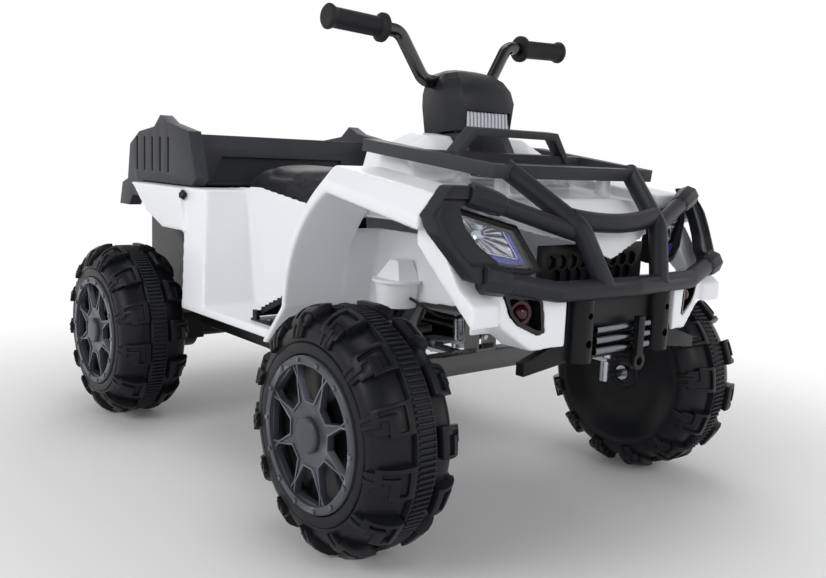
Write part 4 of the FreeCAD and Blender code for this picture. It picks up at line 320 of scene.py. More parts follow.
# Colour, roughness, grain and what differs from the usual plastic
PLASTICS = {
    "white_plastic": (WHITE, 0.3, SMOOTH_GRAIN, {"variation": 0.006, "wear_and_highlight": 0.0, "specular": 0.45}),
    "charcoal_plastic": (CHARCOAL, 0.42, COARSE_GRAIN, {}),
    "black_plastic": (BLACK, 0.34, SATIN_GRAIN, {"specular": 0.18}),
    "tyre_plastic": (TYRE_BLACK, 0.36, SATIN_GRAIN, {"variation": 0.1, "wear_and_highlight": 0.6, "specular": 0.2}),
    "band_rubber": (BAND_BLACK, 0.44, SATIN_GRAIN, {"variation": 0.1, "wear_and_highlight": 0.6, "specular": 0.2}),
    "graphite_plastic": (GRAPHITE, 0.34, SMOOTH_GRAIN, {"wear_and_highlight": 0.9, "specular": 0.3}),
    "grip_rubber": (GRIP_BLACK, 0.55, COARSE_GRAIN, {"specular": 0.25}),
    "red_lens": (FOG_RED, 0.1, SMOOTH_GRAIN, {"variation": 0.1, "wear_and_highlight": 0.0, "coat": 0.4}),
    "switch_red": (BUTTON_RED, 0.24, SMOOTH_GRAIN, {"wear_and_highlight": 0.2, "coat": 0.5}),
    "switch_black": (BLACK, 0.26, SATIN_GRAIN, {}),
    "fog_gloss": (BLACK, 0.12, SMOOTH_GRAIN, {"variation": 0.05, "wear_and_highlight": 0.2, "coat": 0.3}),
    "cargo_plastic": (CARGO_GREY, 0.46, COARSE_GRAIN, {}),
    # The rims' edges are paler still, wear and a painted highlight, and their windows carry painted shade
    "rim_paint_and_window_shade": (GRAPHITE, 0.3, SMOOTH_GRAIN, {"wear_and_highlight": 1.8, "specular": 0.35, "deep": WINDOW_SHADE_DEPTHS}),
}
# Colour, roughness and what differs from the usual metal
METALS = {
    "black_steel": (STEEL_BLACK, 0.16, {"metallic": 0.0, "coat": 0.7}),
    "zinc_steel": (ZINC, 0.3, {}),
    "roller_chrome": (ROLLER_GREY, 0.2, {"streaks": STREAKS_ALONG_Y}),
    "lamp_chrome": (LAMP_CHROME, 0.12, {"streaks": EVEN_PATCHES}),
}
LENS_ROUGHNESS = 0.03
STRIP_GLOW = 0.3
POD_FLUTE_PITCH = 3.4 * MM


def make_looks():
    looks = {
        "clear_lens": clear("clear_lens", LENS_TINT, LENS_ROUGHNESS),
        "seat_leather": leather("seat_leather", LEATHER),
        "lamp_blue": lit("lamp_blue", LED_BLUE, STRIP_GLOW),
        "pod_flutes": fluted("pod_flutes", LAMP_CHROME, POD_FLUTE_PITCH),
    }
    for name, (colour, roughness, grain, rest) in PLASTICS.items():
        looks[name] = moulded(name, colour, roughness, grain, **rest)
    for name, (colour, roughness, rest) in METALS.items():
        looks[name] = metal(name, colour, roughness, **rest)
    return looks


LOOKS = make_looks()
# Nodes whose look differs from their slot's usual one
OWN_LOOK = {
    "pod_lens": "pod_flutes", "fog_lamp_bezels": "fog_gloss", "cargo_tray": "cargo_plastic",
    "cargo_side_right": "cargo_plastic", "cargo_side_left": "cargo_plastic", "front_rack": "cargo_plastic",
    "centre_bumper": "black_plastic", "grille": "black_plastic",
    **{f"{corner}_rim": "rim_paint_and_window_shade" for corner in CORNERS},
}


# Mesh helpers

WELD_DISTANCE = 0.02 * MM
ROUND_SEGMENTS = 2
SMOOTH_FACTOR = 0.5


def link(item):
    bpy.context.scene.collection.objects.link(item)
    return item


def dress(data, look):
    data.materials.clear()
    data.materials.append(LOOKS[look])


def as_mesh(name, work):
    """Turns a working mesh into mesh data of its own."""
    mesh = bpy.data.meshes.new(name)
    work.to_mesh(mesh)
    work.free()
    return mesh


def finished(name, mesh, look, smooth_deg=35.0):
    dress(mesh, look)
    mesh.shade_smooth()
    mesh.set_sharp_from_angle(angle=math.radians(smooth_deg))
    return link(bpy.data.objects.new(name, mesh))


def mesh_object(name, vertices, faces, look, smooth_deg):
    mesh = bpy.data.meshes.new(name)
    mesh.from_pydata([tuple(vertex) for vertex in vertices], [], faces)
    return finished(name, mesh, look, smooth_deg)


def attach(item, body, slot, *replaced):
    """A piece that rides on a body and may stand for CAD nodes; slot is not used."""
    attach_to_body(item, body)
    if replaced:
        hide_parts(*replaced)


def modify(item, kind, **settings):
    modifier = item.modifiers.new(kind.lower(), kind)
    for name, value in settings.items():
        setattr(modifier, name, value)
    return modifier


def take_result(item):
    """Keeps the evaluated mesh and drops the modifiers."""
    graph = bpy.context.evaluated_depsgraph_get()
    result = bpy.data.meshes.new_from_object(item.evaluated_get(graph))
    item.modifiers.clear()
    item.data = result


def turned(profile, segments, closed=True):
    """Vertices and faces of a (radius, along Y) profile turned about Y."""
    vertices = []
    for step in range(segments):
        angle = 2 * math.pi * step / segments
        for radius, along in profile:
            vertices.append(Vector((radius * math.cos(angle), along, radius * math.sin(angle))))
    count = len(profile)
    faces = []
    for step in range(segments):
        here = step * count
        there = (step + 1) % segments * count
        for index in range(count if closed else count - 1):
            after = (index + 1) % count
            faces.append((here + index, here + after, there + after, there + index))
    return vertices, faces


def turned_with_copies(name, profile, segments, pattern, places):
    """Mesh of a turned profile with a copy of the pattern at each place, which may mirror it."""
    vertices, faces = turned(profile, segments)
    mesh = bpy.data.meshes.new(name)
    mesh.from_pydata(vertices, [], faces)
    whole = bmesh.new()
    whole.from_mesh(mesh)
    bmesh.ops.recalc_face_normals(whole, faces=whole.faces)
    for place in places:
        copy = pattern.copy()
        copy.transform(place)
        if place.is_negative:
            copy.flip_normals()
        whole.from_mesh(copy)
        bpy.data.meshes.remove(copy)
    whole.to_mesh(mesh)
    whole.free()
    return mesh


def rounded(mesh, width, angle_deg=30.0):
    """Rounds a mesh's own sharp edges."""
    work = bmesh.new()
    work.from_mesh(mesh)
    bmesh.ops.remove_doubles(work, verts=work.verts, dist=WELD_DISTANCE)
    bmesh.ops.recalc_face_normals(work, faces=work.faces)
    sharp = [
        edge for edge in work.edges
        if len(edge.link_faces) == 2 and edge.calc_face_angle() > math.radians(angle_deg)
    ]
    bmesh.ops.bevel(
        work, geom=sharp, offset=width, segments=ROUND_SEGMENTS, profile=0.5, affect="EDGES",
        offset_type="OFFSET", clamp_overlap=True,
    )
    work.to_mesh(mesh)
    work.free()
    return mesh


# CAD nodes: their finish, and softly rounded edges

# Widths of the rounds in mm, by what a node's name holds
EDGE_WIDTHS = {
    "front_rack": 2.0, "cargo": 2.5, "handlebar_pod": 3.0, "steering_shroud": 2.5, "centre_bumper": 1.6,
    "headlight_housing": 1.2, "gearbox": 1.5, "rim": 0.9, "hub_cap": 0.8, "under_tray": 1.0,
    "accelerator_pedal": 0.8, "chassis_frame": 1.5, "axle_beam": 1.0, "direction_rocker": 0.8, "grille": 0.5,
}
EDGE_SEGMENTS = 3
EDGE_DEG = 28.0
FLAT_DEG = 1.0
SHARP_DEG = 32.0
# Large mouldings with generous rounds: mesh pitch in mm, passes of smoothing and share of faces kept
SOFT_MOULDINGS = {
    "body_shell": (2.5, 12, 0.25), "hood": (2.5, 10, 0.3), "front_fascia": (2.4, 10, 0.5),
    "guard_right": (1.6, 6, 0.6), "guard_left": (1.6, 6, 0.6),
}


def shading_group():
    """Node group that shades faces smooth, apart from sharp edges."""
    group = bpy.data.node_groups.new("soft_shading", "GeometryNodeTree")
    for direction in ("INPUT", "OUTPUT"):
        group.interface.new_socket("Geometry", in_out=direction, socket_type="NodeSocketGeometry")
    add = group.nodes.new
    start = add("NodeGroupInput")
    end = add("NodeGroupOutput")
    smooth = add("GeometryNodeSetShadeSmooth")
    smooth.domain = "FACE"
    smooth.inputs["Shade Smooth"].default_value = True
    angle = add("GeometryNodeInputMeshEdgeAngle")
    flat = add("FunctionNodeCompare")
    flat.operation = "LESS_THAN"
    flat.inputs[1].default_value = math.radians(SHARP_DEG)
    crease = add("GeometryNodeSetShadeSmooth")
    crease.domain = "EDGE"
    chain = group.links.new
    chain(start.outputs[0], smooth.inputs["Geometry"])
    chain(smooth.outputs[0], crease.inputs["Geometry"])
    chain(angle.outputs["Unsigned Angle"], flat.inputs[0])
    chain(flat.outputs[0], crease.inputs["Shade Smooth"])
    chain(crease.outputs[0], end.inputs[0])
    return group


def soften(node, pitch, passes, kept):
    modify(node, "REMESH", mode="VOXEL", voxel_size=pitch * MM)
    modify(node, "SMOOTH", factor=SMOOTH_FACTOR, iterations=passes)
    modify(node, "DECIMATE", ratio=kept)


def round_edges(node, width):
    modify(node, "DECIMATE", decimate_type="DISSOLVE", angle_limit=math.radians(FLAT_DEG))
    modify(
        node, "BEVEL", width=width * MM, segments=EDGE_SEGMENTS, limit_method="ANGLE",
        angle_limit=math.radians(EDGE_DEG), use_clamp_overlap=True,
    )


def dress_nodes():
    shading = shading_group()
    for name, node in NODES.items():
        dress(node.data, OWN_LOOK.get(name, SLOT_OF[name]))
        modify(node, "WELD", merge_threshold=WELD_DISTANCE)
        widths = [width for word, width in EDGE_WIDTHS.items() if word in name]
        if name in SOFT_MOULDINGS:
            soften(node, *SOFT_MOULDINGS[name])
        elif widths:
            round_edges(node, widths[0])
        modify(node, "NODES", node_group=shading)


# Seat: a stuffed cover blown up from a smaller copy of the cushion's solid

SEAT_VOXEL = 5 * MM
SEAT_SWELL = 7 * MM
SEAT_FRAMES = 20
SEAT_PRESSURE = 4.0
SEAT_QUALITY = 6
SEAT_PASSES = 6
SEAT_SHRINK_SHARE = 0.965
SEAM_RING_SHARE = 0.8
SEAM_WIDTH_SHARE = 0.035
SEAM_DEPTH = 4 * MM
# How square the seam's ring is, and how far up a face must look to carry it
SEAM_SQUARENESS = 4
SEAM_FACING = 0.3


def seat_start():
    low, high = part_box("seat")
    centre = (low + high) / 2
    mesh = NODES["seat"].data.copy()
    work = bmesh.new()
    work.from_mesh(mesh)
    bmesh.ops.remove_doubles(work, verts=work.verts, dist=WELD_DISTANCE)
    for vertex in work.verts:
        vertex.co.x = centre.x + (vertex.co.x - centre.x) * SEAT_SHRINK_SHARE
        vertex.co.y = centre.y + (vertex.co.y - centre.y) * SEAT_SHRINK_SHARE
        vertex.co.z = low.z + (vertex.co.z - low.z) * SEAT_SHRINK_SHARE
    work.to_mesh(mesh)
    work.free()
    seat = finished("seat_cushion", mesh, "seat_leather")
    modify(seat, "REMESH", mode="VOXEL", voxel_size=SEAT_VOXEL, use_smooth_shade=True)
    take_result(seat)
    return seat


def swell(seat):
    """Blows the cover up under light pressure, and caps how far each point may go."""
    before = [vertex.co.copy() for vertex in seat.data.vertices]
    floor = min(point.z for point in before) + SEAT_VOXEL
    held = seat.vertex_groups.new(name="held")
    held.add([index for index, point in enumerate(before) if point.z < floor], 1.0, "REPLACE")
    cloth = seat.modifiers.new("cloth", "CLOTH")
    cloth.settings.vertex_group_mass = "held"
    cloth.settings.use_pressure = True
    cloth.settings.uniform_pressure_force = SEAT_PRESSURE
    cloth.settings.quality = SEAT_QUALITY
    cloth.settings.effector_weights.gravity = 0.0
    cloth.point_cache.frame_start = 1
    cloth.point_cache.frame_end = SEAT_FRAMES
    for step in range(1, SEAT_FRAMES + 1):
        bpy.context.scene.frame_set(step)
    take_result(seat)
    bpy.context.scene.frame_set(1)
    for vertex, start in zip(seat.data.vertices, before):
        moved = vertex.co - start
        if moved.length > SEAT_SWELL:
            vertex.co = start + moved.normalized() * SEAT_SWELL


def sew(seat):
    """Draws the cover in along a seam that runs round its top."""
    low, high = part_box("seat")
    centre = (low + high) / 2
    half = (high - low) / 2
    for vertex in seat.data.vertices:
        along = abs(vertex.co.x - centre.x) / half.x
        across = abs(vertex.co.y - centre.y) / half.y
        ring = (along ** SEAM_SQUARENESS + across ** SEAM_SQUARENESS) ** (1 / SEAM_SQUARENESS)
        pull = math.exp(-((ring - SEAM_RING_SHARE) / SEAM_WIDTH_SHARE) ** 2)
        if vertex.normal.z > SEAM_FACING:
            vertex.co -= vertex.normal * SEAM_DEPTH * pull


def make_seat():
    seat = seat_start()
    swell(seat)
    modify(seat, "SMOOTH", factor=SMOOTH_FACTOR, iterations=SEAT_PASSES)
    take_result(seat)
    sew(seat)
    modify(seat, "SUBSURF", levels=1, render_levels=1)
    dress(seat.data, "seat_leather")
    seat.data.shade_smooth()
    attach(seat, "chassis", "seat_leather", "seat")


# Tyres: a smooth carcass with stepped lugs that follow its curve

TYRE_LUGS = 13
STEPS_PER_LUG = 12
SHOULDER_STEPS = 9
TREAD_RADIUS = 137 * MM
BAND_EDGE = 15.5 * MM
SIDE_RADIUS = 109 * MM
SIDE_FACE = 57 * MM
# Points of the section in mm, by radius and by place along the axle, outer side positive
LIP_POINTS = ((92, 47), (92, 54), (94, 57), (104, 58), (106, 57.2), (107, 55.6))
GROOVE_POINTS = ((132.5, 14), (132.5, -14))
DISH_POINTS = ((106, -57), (98, -53), (82, -45), (66, -39), (50, -37.4), (26, -37.2))
HUB_POINTS = ((24, -39), (17.3, -39), (17.3, -33))
HOLLOW_POINTS = ((64, -33), (106, -50), (120, 0), (106, 47))
LUG_SPREAD = 34 * MM
LUG_SLANT = 5 * MM
LUG_SINK = 1.5 * MM
LUG_ROUND = 0.9 * MM
LUG_ROUND_DEG = 35.0
LUG_HEIGHT = 12 * MM
LUG_HEIGHT_SHARES = (1.0, 1.08, 1.05, 0.92, 0.78, 0.62, 0.5)
LUG_REACH_SHARES = (0.03, 0.14, 0.27, 0.42, 0.55, 0.68, 0.8, 0.93)
LUG_CROSS_SHARES = (-0.5, -0.36, -0.2, -0.06, 0.1, 0.26, 0.38, 0.5)
# Lug plan, one row per stretch from the band outwards: F full height, S sunk, L low step, . open
LUG_PLAN = (
    "FFFFFFF",
    "FSSSSSF",
    "FSFFFFF",
    "FSFLLL.",
    "FFFFLL.",
    ".FLFL..",
    ".FLFL..",
)
LUG_LEVELS = {"F": 1.0, "S": 0.62, "L": 0.7}
WHEEL_SMOOTH_DEG = 34.0


def shoulder(share):
    """Place on the carcass from the band's edge (0) to the sidewall (1), and its outward direction."""
    angle = share * math.pi / 2
    depth = TREAD_RADIUS - SIDE_RADIUS
    width = SIDE_FACE - BAND_EDGE
    place = Vector((SIDE_RADIUS + depth * math.cos(angle), BAND_EDGE + width * math.sin(angle)))
    normal = Vector((math.cos(angle) / depth, math.sin(angle) / width)).normalized()
    return place, normal


def carcass_profile():
    """Closed (radius, along) section: outer lip, tread with the band's groove, inner dish, hub and hollow."""
    def metres(points):
        return [(radius * MM, along * MM) for radius, along in points]

    outer = [shoulder(1 - step / SHOULDER_STEPS)[0] for step in range(SHOULDER_STEPS + 1)]
    section = metres(LIP_POINTS)
    section += [(point.x, point.y) for point in outer]
    section += metres(GROOVE_POINTS)
    section += [(point.x, -point.y) for point in reversed(outer)]
    return section + metres(DISH_POINTS + HUB_POINTS + HOLLOW_POINTS)


def lug_mesh():
    """One lug at angle zero: raised cells over the carcass with walls where their heights differ."""
    rows = len(LUG_PLAN)
    columns = len(LUG_PLAN[0])
    work = bmesh.new()
    seen = {}

    def level(row, column):
        if 0 <= row < rows and 0 <= column < columns:
            return LUG_LEVELS.get(LUG_PLAN[row][column], 0.0)
        return 0.0

    def corner(row, column, height_share):
        key = (row, column, round(height_share, 4))
        if key not in seen:
            place, normal = shoulder(LUG_REACH_SHARES[row])
            rise_share = LUG_HEIGHT_SHARES[min(row, rows - 1)]
            height = LUG_HEIGHT * rise_share * height_share if height_share else -LUG_SINK
            point = place + normal * height
            slant = LUG_SLANT * LUG_REACH_SHARES[row]
            angle = (LUG_SPREAD * LUG_CROSS_SHARES[column] + slant) / TREAD_RADIUS
            seen[key] = work.verts.new((point.x * math.cos(angle), point.y, point.x * math.sin(angle)))
        return seen[key]

    def wall(first, second, here, there):
        if here != there:
            work.faces.new([
                corner(*first, here), corner(*second, here), corner(*second, there), corner(*first, there),
            ])

    for row in range(rows):
        for column in range(columns):
            here = level(row, column)
            if here:
                work.faces.new([
                    corner(row, column, here), corner(row, column + 1, here),
                    corner(row + 1, column + 1, here), corner(row + 1, column, here),
                ])
    for row in range(rows + 1):
        for column in range(columns):
            wall((row, column), (row, column + 1), level(row, column), level(row - 1, column))
    for row in range(rows):
        for column in range(columns + 1):
            wall((row + 1, column), (row, column), level(row, column), level(row, column - 1))
    bmesh.ops.recalc_face_normals(work, faces=work.faces)
    return rounded(as_mesh("lug", work), LUG_ROUND, LUG_ROUND_DEG)


def tyre_mesh():
    """Carcass with a ring of lugs on each shoulder, the inner ring half a step on."""
    places = []
    for side in (1, -1):
        mirror = Matrix.Diagonal((1, side, 1, 1))
        for index in range(TYRE_LUGS):
            turn = 2 * math.pi * (index + (1 - side) / 4) / TYRE_LUGS + math.pi / 2
            places.append(Matrix.Rotation(turn, 4, "Y") @ mirror)
    return turned_with_copies("tyre", carcass_profile(), TYRE_LUGS * STEPS_PER_LUG, lug_mesh(), places)


# Traction bands: a rubber ring with two rails and fine cross ribs between them

BAND_RIBS = 132
BAND_RADIUS = 146 * MM
BAND_SEAT_RADIUS = 132 * MM
BAND_HALF = 13.8 * MM
RAIL_DROP = 2.2 * MM
RAIL_WIDTH = 3.6 * MM
RAIL_CHAMFER = 0.8 * MM
RAIL_SLOPE = 0.6 * MM
ROOT_DROP = 3.2 * MM
RIB_SINK = 1 * MM
RIB_OVERLAP = 1.6 * MM
RIB_ROUND = 0.5 * MM
RIB_FILL_SHARE = 0.5
RIB_TOP_SHARE = 0.72


def rib_mesh(root, reach):
    """One rib at angle zero, narrower at its top."""
    width = 2 * math.pi * BAND_RADIUS / BAND_RIBS * RIB_FILL_SHARE
    shape = bmesh.new()
    bmesh.ops.create_cube(shape, size=1.0)
    for vertex in shape.verts:
        top = vertex.co.x > 0
        vertex.co = Vector((
            BAND_RADIUS if top else root - RIB_SINK,
            vertex.co.y * 2 * reach,
            vertex.co.z * width * (RIB_TOP_SHARE if top else 1.0),
        ))
    return rounded(as_mesh("rib", shape), RIB_ROUND)


def band_mesh():
    rail = BAND_RADIUS - RAIL_DROP
    root = BAND_RADIUS - ROOT_DROP
    inner = BAND_HALF - RAIL_WIDTH
    half = [
        (BAND_SEAT_RADIUS, BAND_HALF), (rail - RAIL_CHAMFER, BAND_HALF), (rail, BAND_HALF - RAIL_CHAMFER),
        (rail, inner + RAIL_SLOPE), (root, inner),
    ]
    section = half + [(radius, -along) for radius, along in reversed(half)]
    turns = [Matrix.Rotation(2 * math.pi * index / BAND_RIBS, 4, "Y") for index in range(BAND_RIBS)]
    return turned_with_copies("band", section, BAND_RIBS * 2, rib_mesh(root, inner + RIB_OVERLAP), turns)


def make_wheels():
    tyre = tyre_mesh()
    band = band_mesh()
    for corner in CORNERS:
        spin = JOINTS[f"{corner}_wheel_spin"]
        outward = 0.0 if spin["pos_m"][1] > 0 else math.pi
        spot = Matrix.Translation(Vector(spin["pos_m"])) @ Matrix.Rotation(outward, 4, "Z")
        for kind, mesh, slot in (("tyre", tyre, "tyre_plastic"), ("traction_band", band, "band_rubber")):
            item = finished(f"{corner}_{kind}_detail", mesh, slot, WHEEL_SMOOTH_DEG)
            item.matrix_world = spot
            attach(item, f"wheel_{corner}", slot, f"{corner}_{kind}")


# Headlights: bowl reflector, bulb, trim and a coloured strip behind each clear lens

# The lens outline runs between these shares of the lamp's width (inwards) and height (downwards)
LENS_ACROSS_SHARES = (0.07, 0.97)
LENS_DOWN_SHARES = (0.13, 1.0)
# Where the lens starts to lean forward, and how much per width and height
LENS_FRONT_SHARES = (0.09, 0.13)
LAMP_SWEEP_SHARE = 0.247
LAMP_LEAN_SHARE = 0.194
# Patches by their outer top, inner top, inner low and outer low corners
MIRROR_SHARES = ((0.10, 0.17), (0.66, 0.385), (0.83, 0.87), (0.33, 0.70))
MIRROR_SIDE_SHARES = ((0.085, 0.2), (0.10, 0.17), (0.33, 0.70), (0.10, 0.33))
STRIP_SIDE_SHARES = ((0.655, 0.385), (0.738, 0.415), (0.935, 0.955), (0.81, 0.925))
STRIP_LOW_SHARES = ((0.36, 0.745), (0.815, 0.865), (0.845, 0.965), (0.545, 0.925))
TRIM_SIDE_SHARES = ((0.635, 0.38), (0.655, 0.385), (0.828, 0.86), (0.803, 0.85))
TRIM_LOW_SHARES = ((0.34, 0.70), (0.80, 0.83), (0.82, 0.865), (0.36, 0.735))
FOIL_THICKNESS = 0.8 * MM
FOIL_SMOOTH_DEG = 25.0
STRIP_DEPTH = 3.6 * MM
TRIM_DEPTH = 2.6 * MM
BULB_SHARES = (0.42, 0.48)
BULB_DEPTH = 12 * MM
BULB_RADIUS = 7 * MM
BALL_STEPS = (24, 14)
# Reflector bowl: depth at the bulb, rise to its edge, and how wide and how steep it is
BOWL_DEPTH = 17 * MM
BOWL_RISE = 11 * MM
BOWL_REACH_SHARE = 0.5
BOWL_STRETCH = 1.5
BOWL_POWER = 1.4
# Flutes that fan out from the bulb, and how fast they start
FLUTE_TURNS = 11
FLUTE_DEPTH = 1.6 * MM
FLUTE_START = 4


def lamp_place(side, across, down, depth):
    """A point behind the lens: shares of the lamp inwards and downwards, and metres deep."""
    low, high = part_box("headlight_lens_right")
    width = (high.y - low.y) / (LENS_ACROSS_SHARES[1] - LENS_ACROSS_SHARES[0])
    height = (high.z - low.z) / (LENS_DOWN_SHARES[1] - LENS_DOWN_SHARES[0])
    y = low.y + width * (across - LENS_ACROSS_SHARES[0])
    z = high.z - height * (down - LENS_DOWN_SHARES[0])
    x = low.x - depth
    x += width * (across - LENS_FRONT_SHARES[0]) * LAMP_SWEEP_SHARE
    x += height * (down - LENS_FRONT_SHARES[1]) * LAMP_LEAN_SHARE
    return Vector((x, y if side < 0 else -y, z))


def bowl_depth(across, down):
    """Depth of the bowl round the bulb, less its flutes."""
    aside = (across - BULB_SHARES[0]) * BOWL_STRETCH
    below = down - BULB_SHARES[1]
    reach = math.hypot(aside, below)
    fan = abs(math.sin(math.atan2(below, aside) * FLUTE_TURNS))
    flutes = FLUTE_DEPTH * fan * min(1.0, reach * FLUTE_START)
    return BOWL_DEPTH - BOWL_RISE * min(1.0, reach / BOWL_REACH_SHARE) ** BOWL_POWER - flutes


def lamp_patch(name, side, corners, depth, look, steps):
    """Grid between four corners of the lamp, at one depth, or with the bowl's where that is None."""
    columns, rows = steps
    outer_top, inner_top, inner_low, outer_low = (Vector(corner) for corner in corners)
    vertices = []
    for row in range(rows + 1):
        for column in range(columns + 1):
            across = column / columns
            top = outer_top.lerp(inner_top, across)
            share = top.lerp(outer_low.lerp(inner_low, across), row / rows)
            vertices.append(lamp_place(side, share.x, share.y, depth or bowl_depth(share.x, share.y)))
    faces = []
    for row in range(rows):
        for column in range(columns):
            here = row * (columns + 1) + column
            faces.append((here, here + 1, here + columns + 2, here + columns + 1))
    item = mesh_object(name, vertices, faces, look, FOIL_SMOOTH_DEG)
    modify(item, "SOLIDIFY", thickness=FOIL_THICKNESS, offset=0.0)
    return item


def ball(name, place, radius, look):
    shape = bmesh.new()
    bmesh.ops.create_uvsphere(shape, u_segments=BALL_STEPS[0], v_segments=BALL_STEPS[1], radius=radius)
    mesh = as_mesh(name, shape)
    mesh.transform(Matrix.Translation(place))
    return finished(name, mesh, look)


# Corners, depth, look, slot and grid of each patch
LAMP_PATCHES = {
    "mirror": (MIRROR_SHARES, None, "lamp_chrome", "roller_chrome", (60, 36)),
    "mirror_side": (MIRROR_SIDE_SHARES, None, "lamp_chrome", "roller_chrome", (6, 36)),
    "strip_side": (STRIP_SIDE_SHARES, STRIP_DEPTH, "lamp_blue", "clear_lens", (6, 20)),
    "strip_low": (STRIP_LOW_SHARES, STRIP_DEPTH, "lamp_blue", "clear_lens", (20, 6)),
    "trim_side": (TRIM_SIDE_SHARES, TRIM_DEPTH, "lamp_chrome", "roller_chrome", (2, 20)),
    "trim_low": (TRIM_LOW_SHARES, TRIM_DEPTH, "lamp_chrome", "roller_chrome", (20, 2)),
}


def make_headlights():
    for word, side in SIDES.items():
        for name, (corners, depth, look, slot, steps) in LAMP_PATCHES.items():
            patch = lamp_patch(f"headlight_{name}_{word}", side, corners, depth, look, steps)
            attach(patch, "chassis", slot)
        place = lamp_place(side, *BULB_SHARES, BULB_DEPTH)
        bulb = ball(f"headlight_bulb_{word}", place, BULB_RADIUS, "clear_lens")
        attach(bulb, "chassis", "clear_lens")


# Fog lamps: a domed cover over each flat lens

FOG_DOME_SHARE = 0.82
FOG_SINK_SHARE = 0.55


def make_fog_domes():
    low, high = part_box("fog_lamp_lenses")
    radius = (high.z - low.z) / 2
    for word, side in SIDES.items():
        place = Vector((high.x - radius * FOG_SINK_SHARE, side * (high.y - radius), (low.z + high.z) / 2))
        dome = ball(f"fog_dome_{word}", place, radius * FOG_DOME_SHARE, "red_lens")
        attach(dome, "chassis", "red_lens")


# Fasteners: washer-faced hexagon bolts

BOLT_SIDES = 6
BOLT_SMOOTH_DEG = 30.0
# Out from the axis and up from the face, as shares of the head's radius
BOLT_SHARES = ((0, 0), (1.25, 0), (1.25, 0.2), (1, 0.25), (0.95, 0.75), (0.75, 0.9), (0, 0.9))
BRACKET_BOLT_RADIUS = 4.5 * MM
BRACKET_BOLT_INSET = 12 * MM
PEDAL_BOLT_RADIUS = 3 * MM
PEDAL_BOLT_SPREAD_SHARE = 0.3
PEDAL_BOLT_REACH_SHARE = 0.45
PEDAL_FLANGE = 3 * MM
# Bolt where the rear skirt meets the side panel, on the left side
SKIRT_BOLT_RADIUS = 6 * MM
SKIRT_BOLT_PLACE = Vector((-0.2185, 0.2335, 0.3915))
SKIRT_BOLT_AXIS = Vector((0.6, 0.75, 0.25))


def bolt(name, place, axis, radius, slot="zinc_steel"):
    """Bolt head on a washer, standing on one of the chassis's faces along the given axis."""
    section = [(radius * out, radius * up) for out, up in BOLT_SHARES]
    vertices, faces = turned(section, BOLT_SIDES, closed=False)
    turn = Vector((0, 1, 0)).rotation_difference(Vector(axis))
    vertices = [Vector(place) + turn @ vertex for vertex in vertices]
    item = mesh_object(name, vertices, faces, slot, BOLT_SMOOTH_DEG)
    attach(item, "chassis", slot)


def make_bolts():
    bracket_low, bracket_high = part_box("axle_brackets")
    base_low, base_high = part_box("pedal_base")
    bracket = (bracket_low + bracket_high) / 2
    base = (base_low + base_high) / 2
    reach = base_low.x + (base_high.x - base_low.x) * PEDAL_BOLT_REACH_SHARE
    spread = (base_high.y - base_low.y) * PEDAL_BOLT_SPREAD_SHARE
    for word, side in SIDES.items():
        place = (bracket_high.x, side * (bracket_high.y - BRACKET_BOLT_INSET), bracket.z)
        bolt(f"bracket_bolt_{word}", place, (1, 0, 0), BRACKET_BOLT_RADIUS)
        place = (reach, base.y + side * spread, base_low.z + PEDAL_FLANGE)
        bolt(f"pedal_bolt_{word}", place, (0, 0, 1), PEDAL_BOLT_RADIUS)
        mirror = Vector((1, side, 1))
        place = SKIRT_BOLT_PLACE * mirror
        bolt(f"skirt_bolt_{word}", place, SKIRT_BOLT_AXIS * mirror, SKIRT_BOLT_RADIUS, "black_plastic")


# Bull bar: faceted sleeves where its tubes meet the headlight guards

SLEEVE_SIDES = 8
SLEEVE_ROUND = 0.8 * MM
SLEEVE_SHARP_DEG = 20.0
# Tube end on the right side, outward direction, tube radius and sleeve length
BAR_ENDS = {
    "brow": ((0.4514, -0.2102, 0.4321), (-0.282, -0.916, 0.285), 10.5 * MM, 46 * MM),
    "chin": ((0.4895, -0.2208, 0.3436), (-0.271, -0.948, 0.170), 12.0 * MM, 34 * MM),
}
# Along the sleeve from the tube's end inwards, and out from the tube
SLEEVE_SHARES = ((-0.02, 0.0), (-0.02, 0.34), (0.06, 0.42), (0.72, 0.34), (0.94, 0.2), (1.0, 0.0))


def make_sleeves():
    for name, (end, outward, radius, length) in BAR_ENDS.items():
        profile = [(radius * (1 + rise), length * along) for along, rise in SLEEVE_SHARES]
        turn = Vector((0, 1, 0)).rotation_difference(-Vector(outward))
        for word, side in SIDES.items():
            vertices, faces = turned(profile, SLEEVE_SIDES)
            mirror = Matrix.Diagonal((1, -side, 1))
            vertices = [mirror @ (Vector(end) + turn @ vertex) for vertex in vertices]
            piece = f"bar_sleeve_{name}_{word}"
            item = mesh_object(piece, vertices, faces, "charcoal_plastic", SLEEVE_SHARP_DEG)
            rounded(item.data, SLEEVE_ROUND, SLEEVE_SHARP_DEG)
            attach(item, "chassis", "charcoal_plastic")


# Grille: a dark sheet close behind its holes, painted shade where there is only shadow behind them

SHEET_GAP = 0.6 * MM
SHEET_THICKNESS = 1.0 * MM
SHEET_INSET = 1.5 * MM
SHEET_ROUND = 0.3 * MM


def make_grille_shade_sheet():
    low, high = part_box("grille")
    size = (SHEET_THICKNESS, high.y - low.y - 2 * SHEET_INSET, high.z - low.z - 2 * SHEET_INSET)
    place = (low + high) / 2
    place.x = low.x - SHEET_GAP - SHEET_THICKNESS / 2
    spot = Matrix.Translation(place) @ Matrix.Diagonal((*size, 1))
    shape = bmesh.new()
    bmesh.ops.create_cube(shape, size=1.0)
    bmesh.ops.transform(shape, verts=shape.verts, matrix=spot)
    mesh = rounded(as_mesh("grille_shade_sheet", shape), SHEET_ROUND)
    # The sheet is painted shade, dark where the holes look into shadow
    attach(finished("grille_shade_sheet", mesh, "black_plastic"), "chassis", "black_plastic")


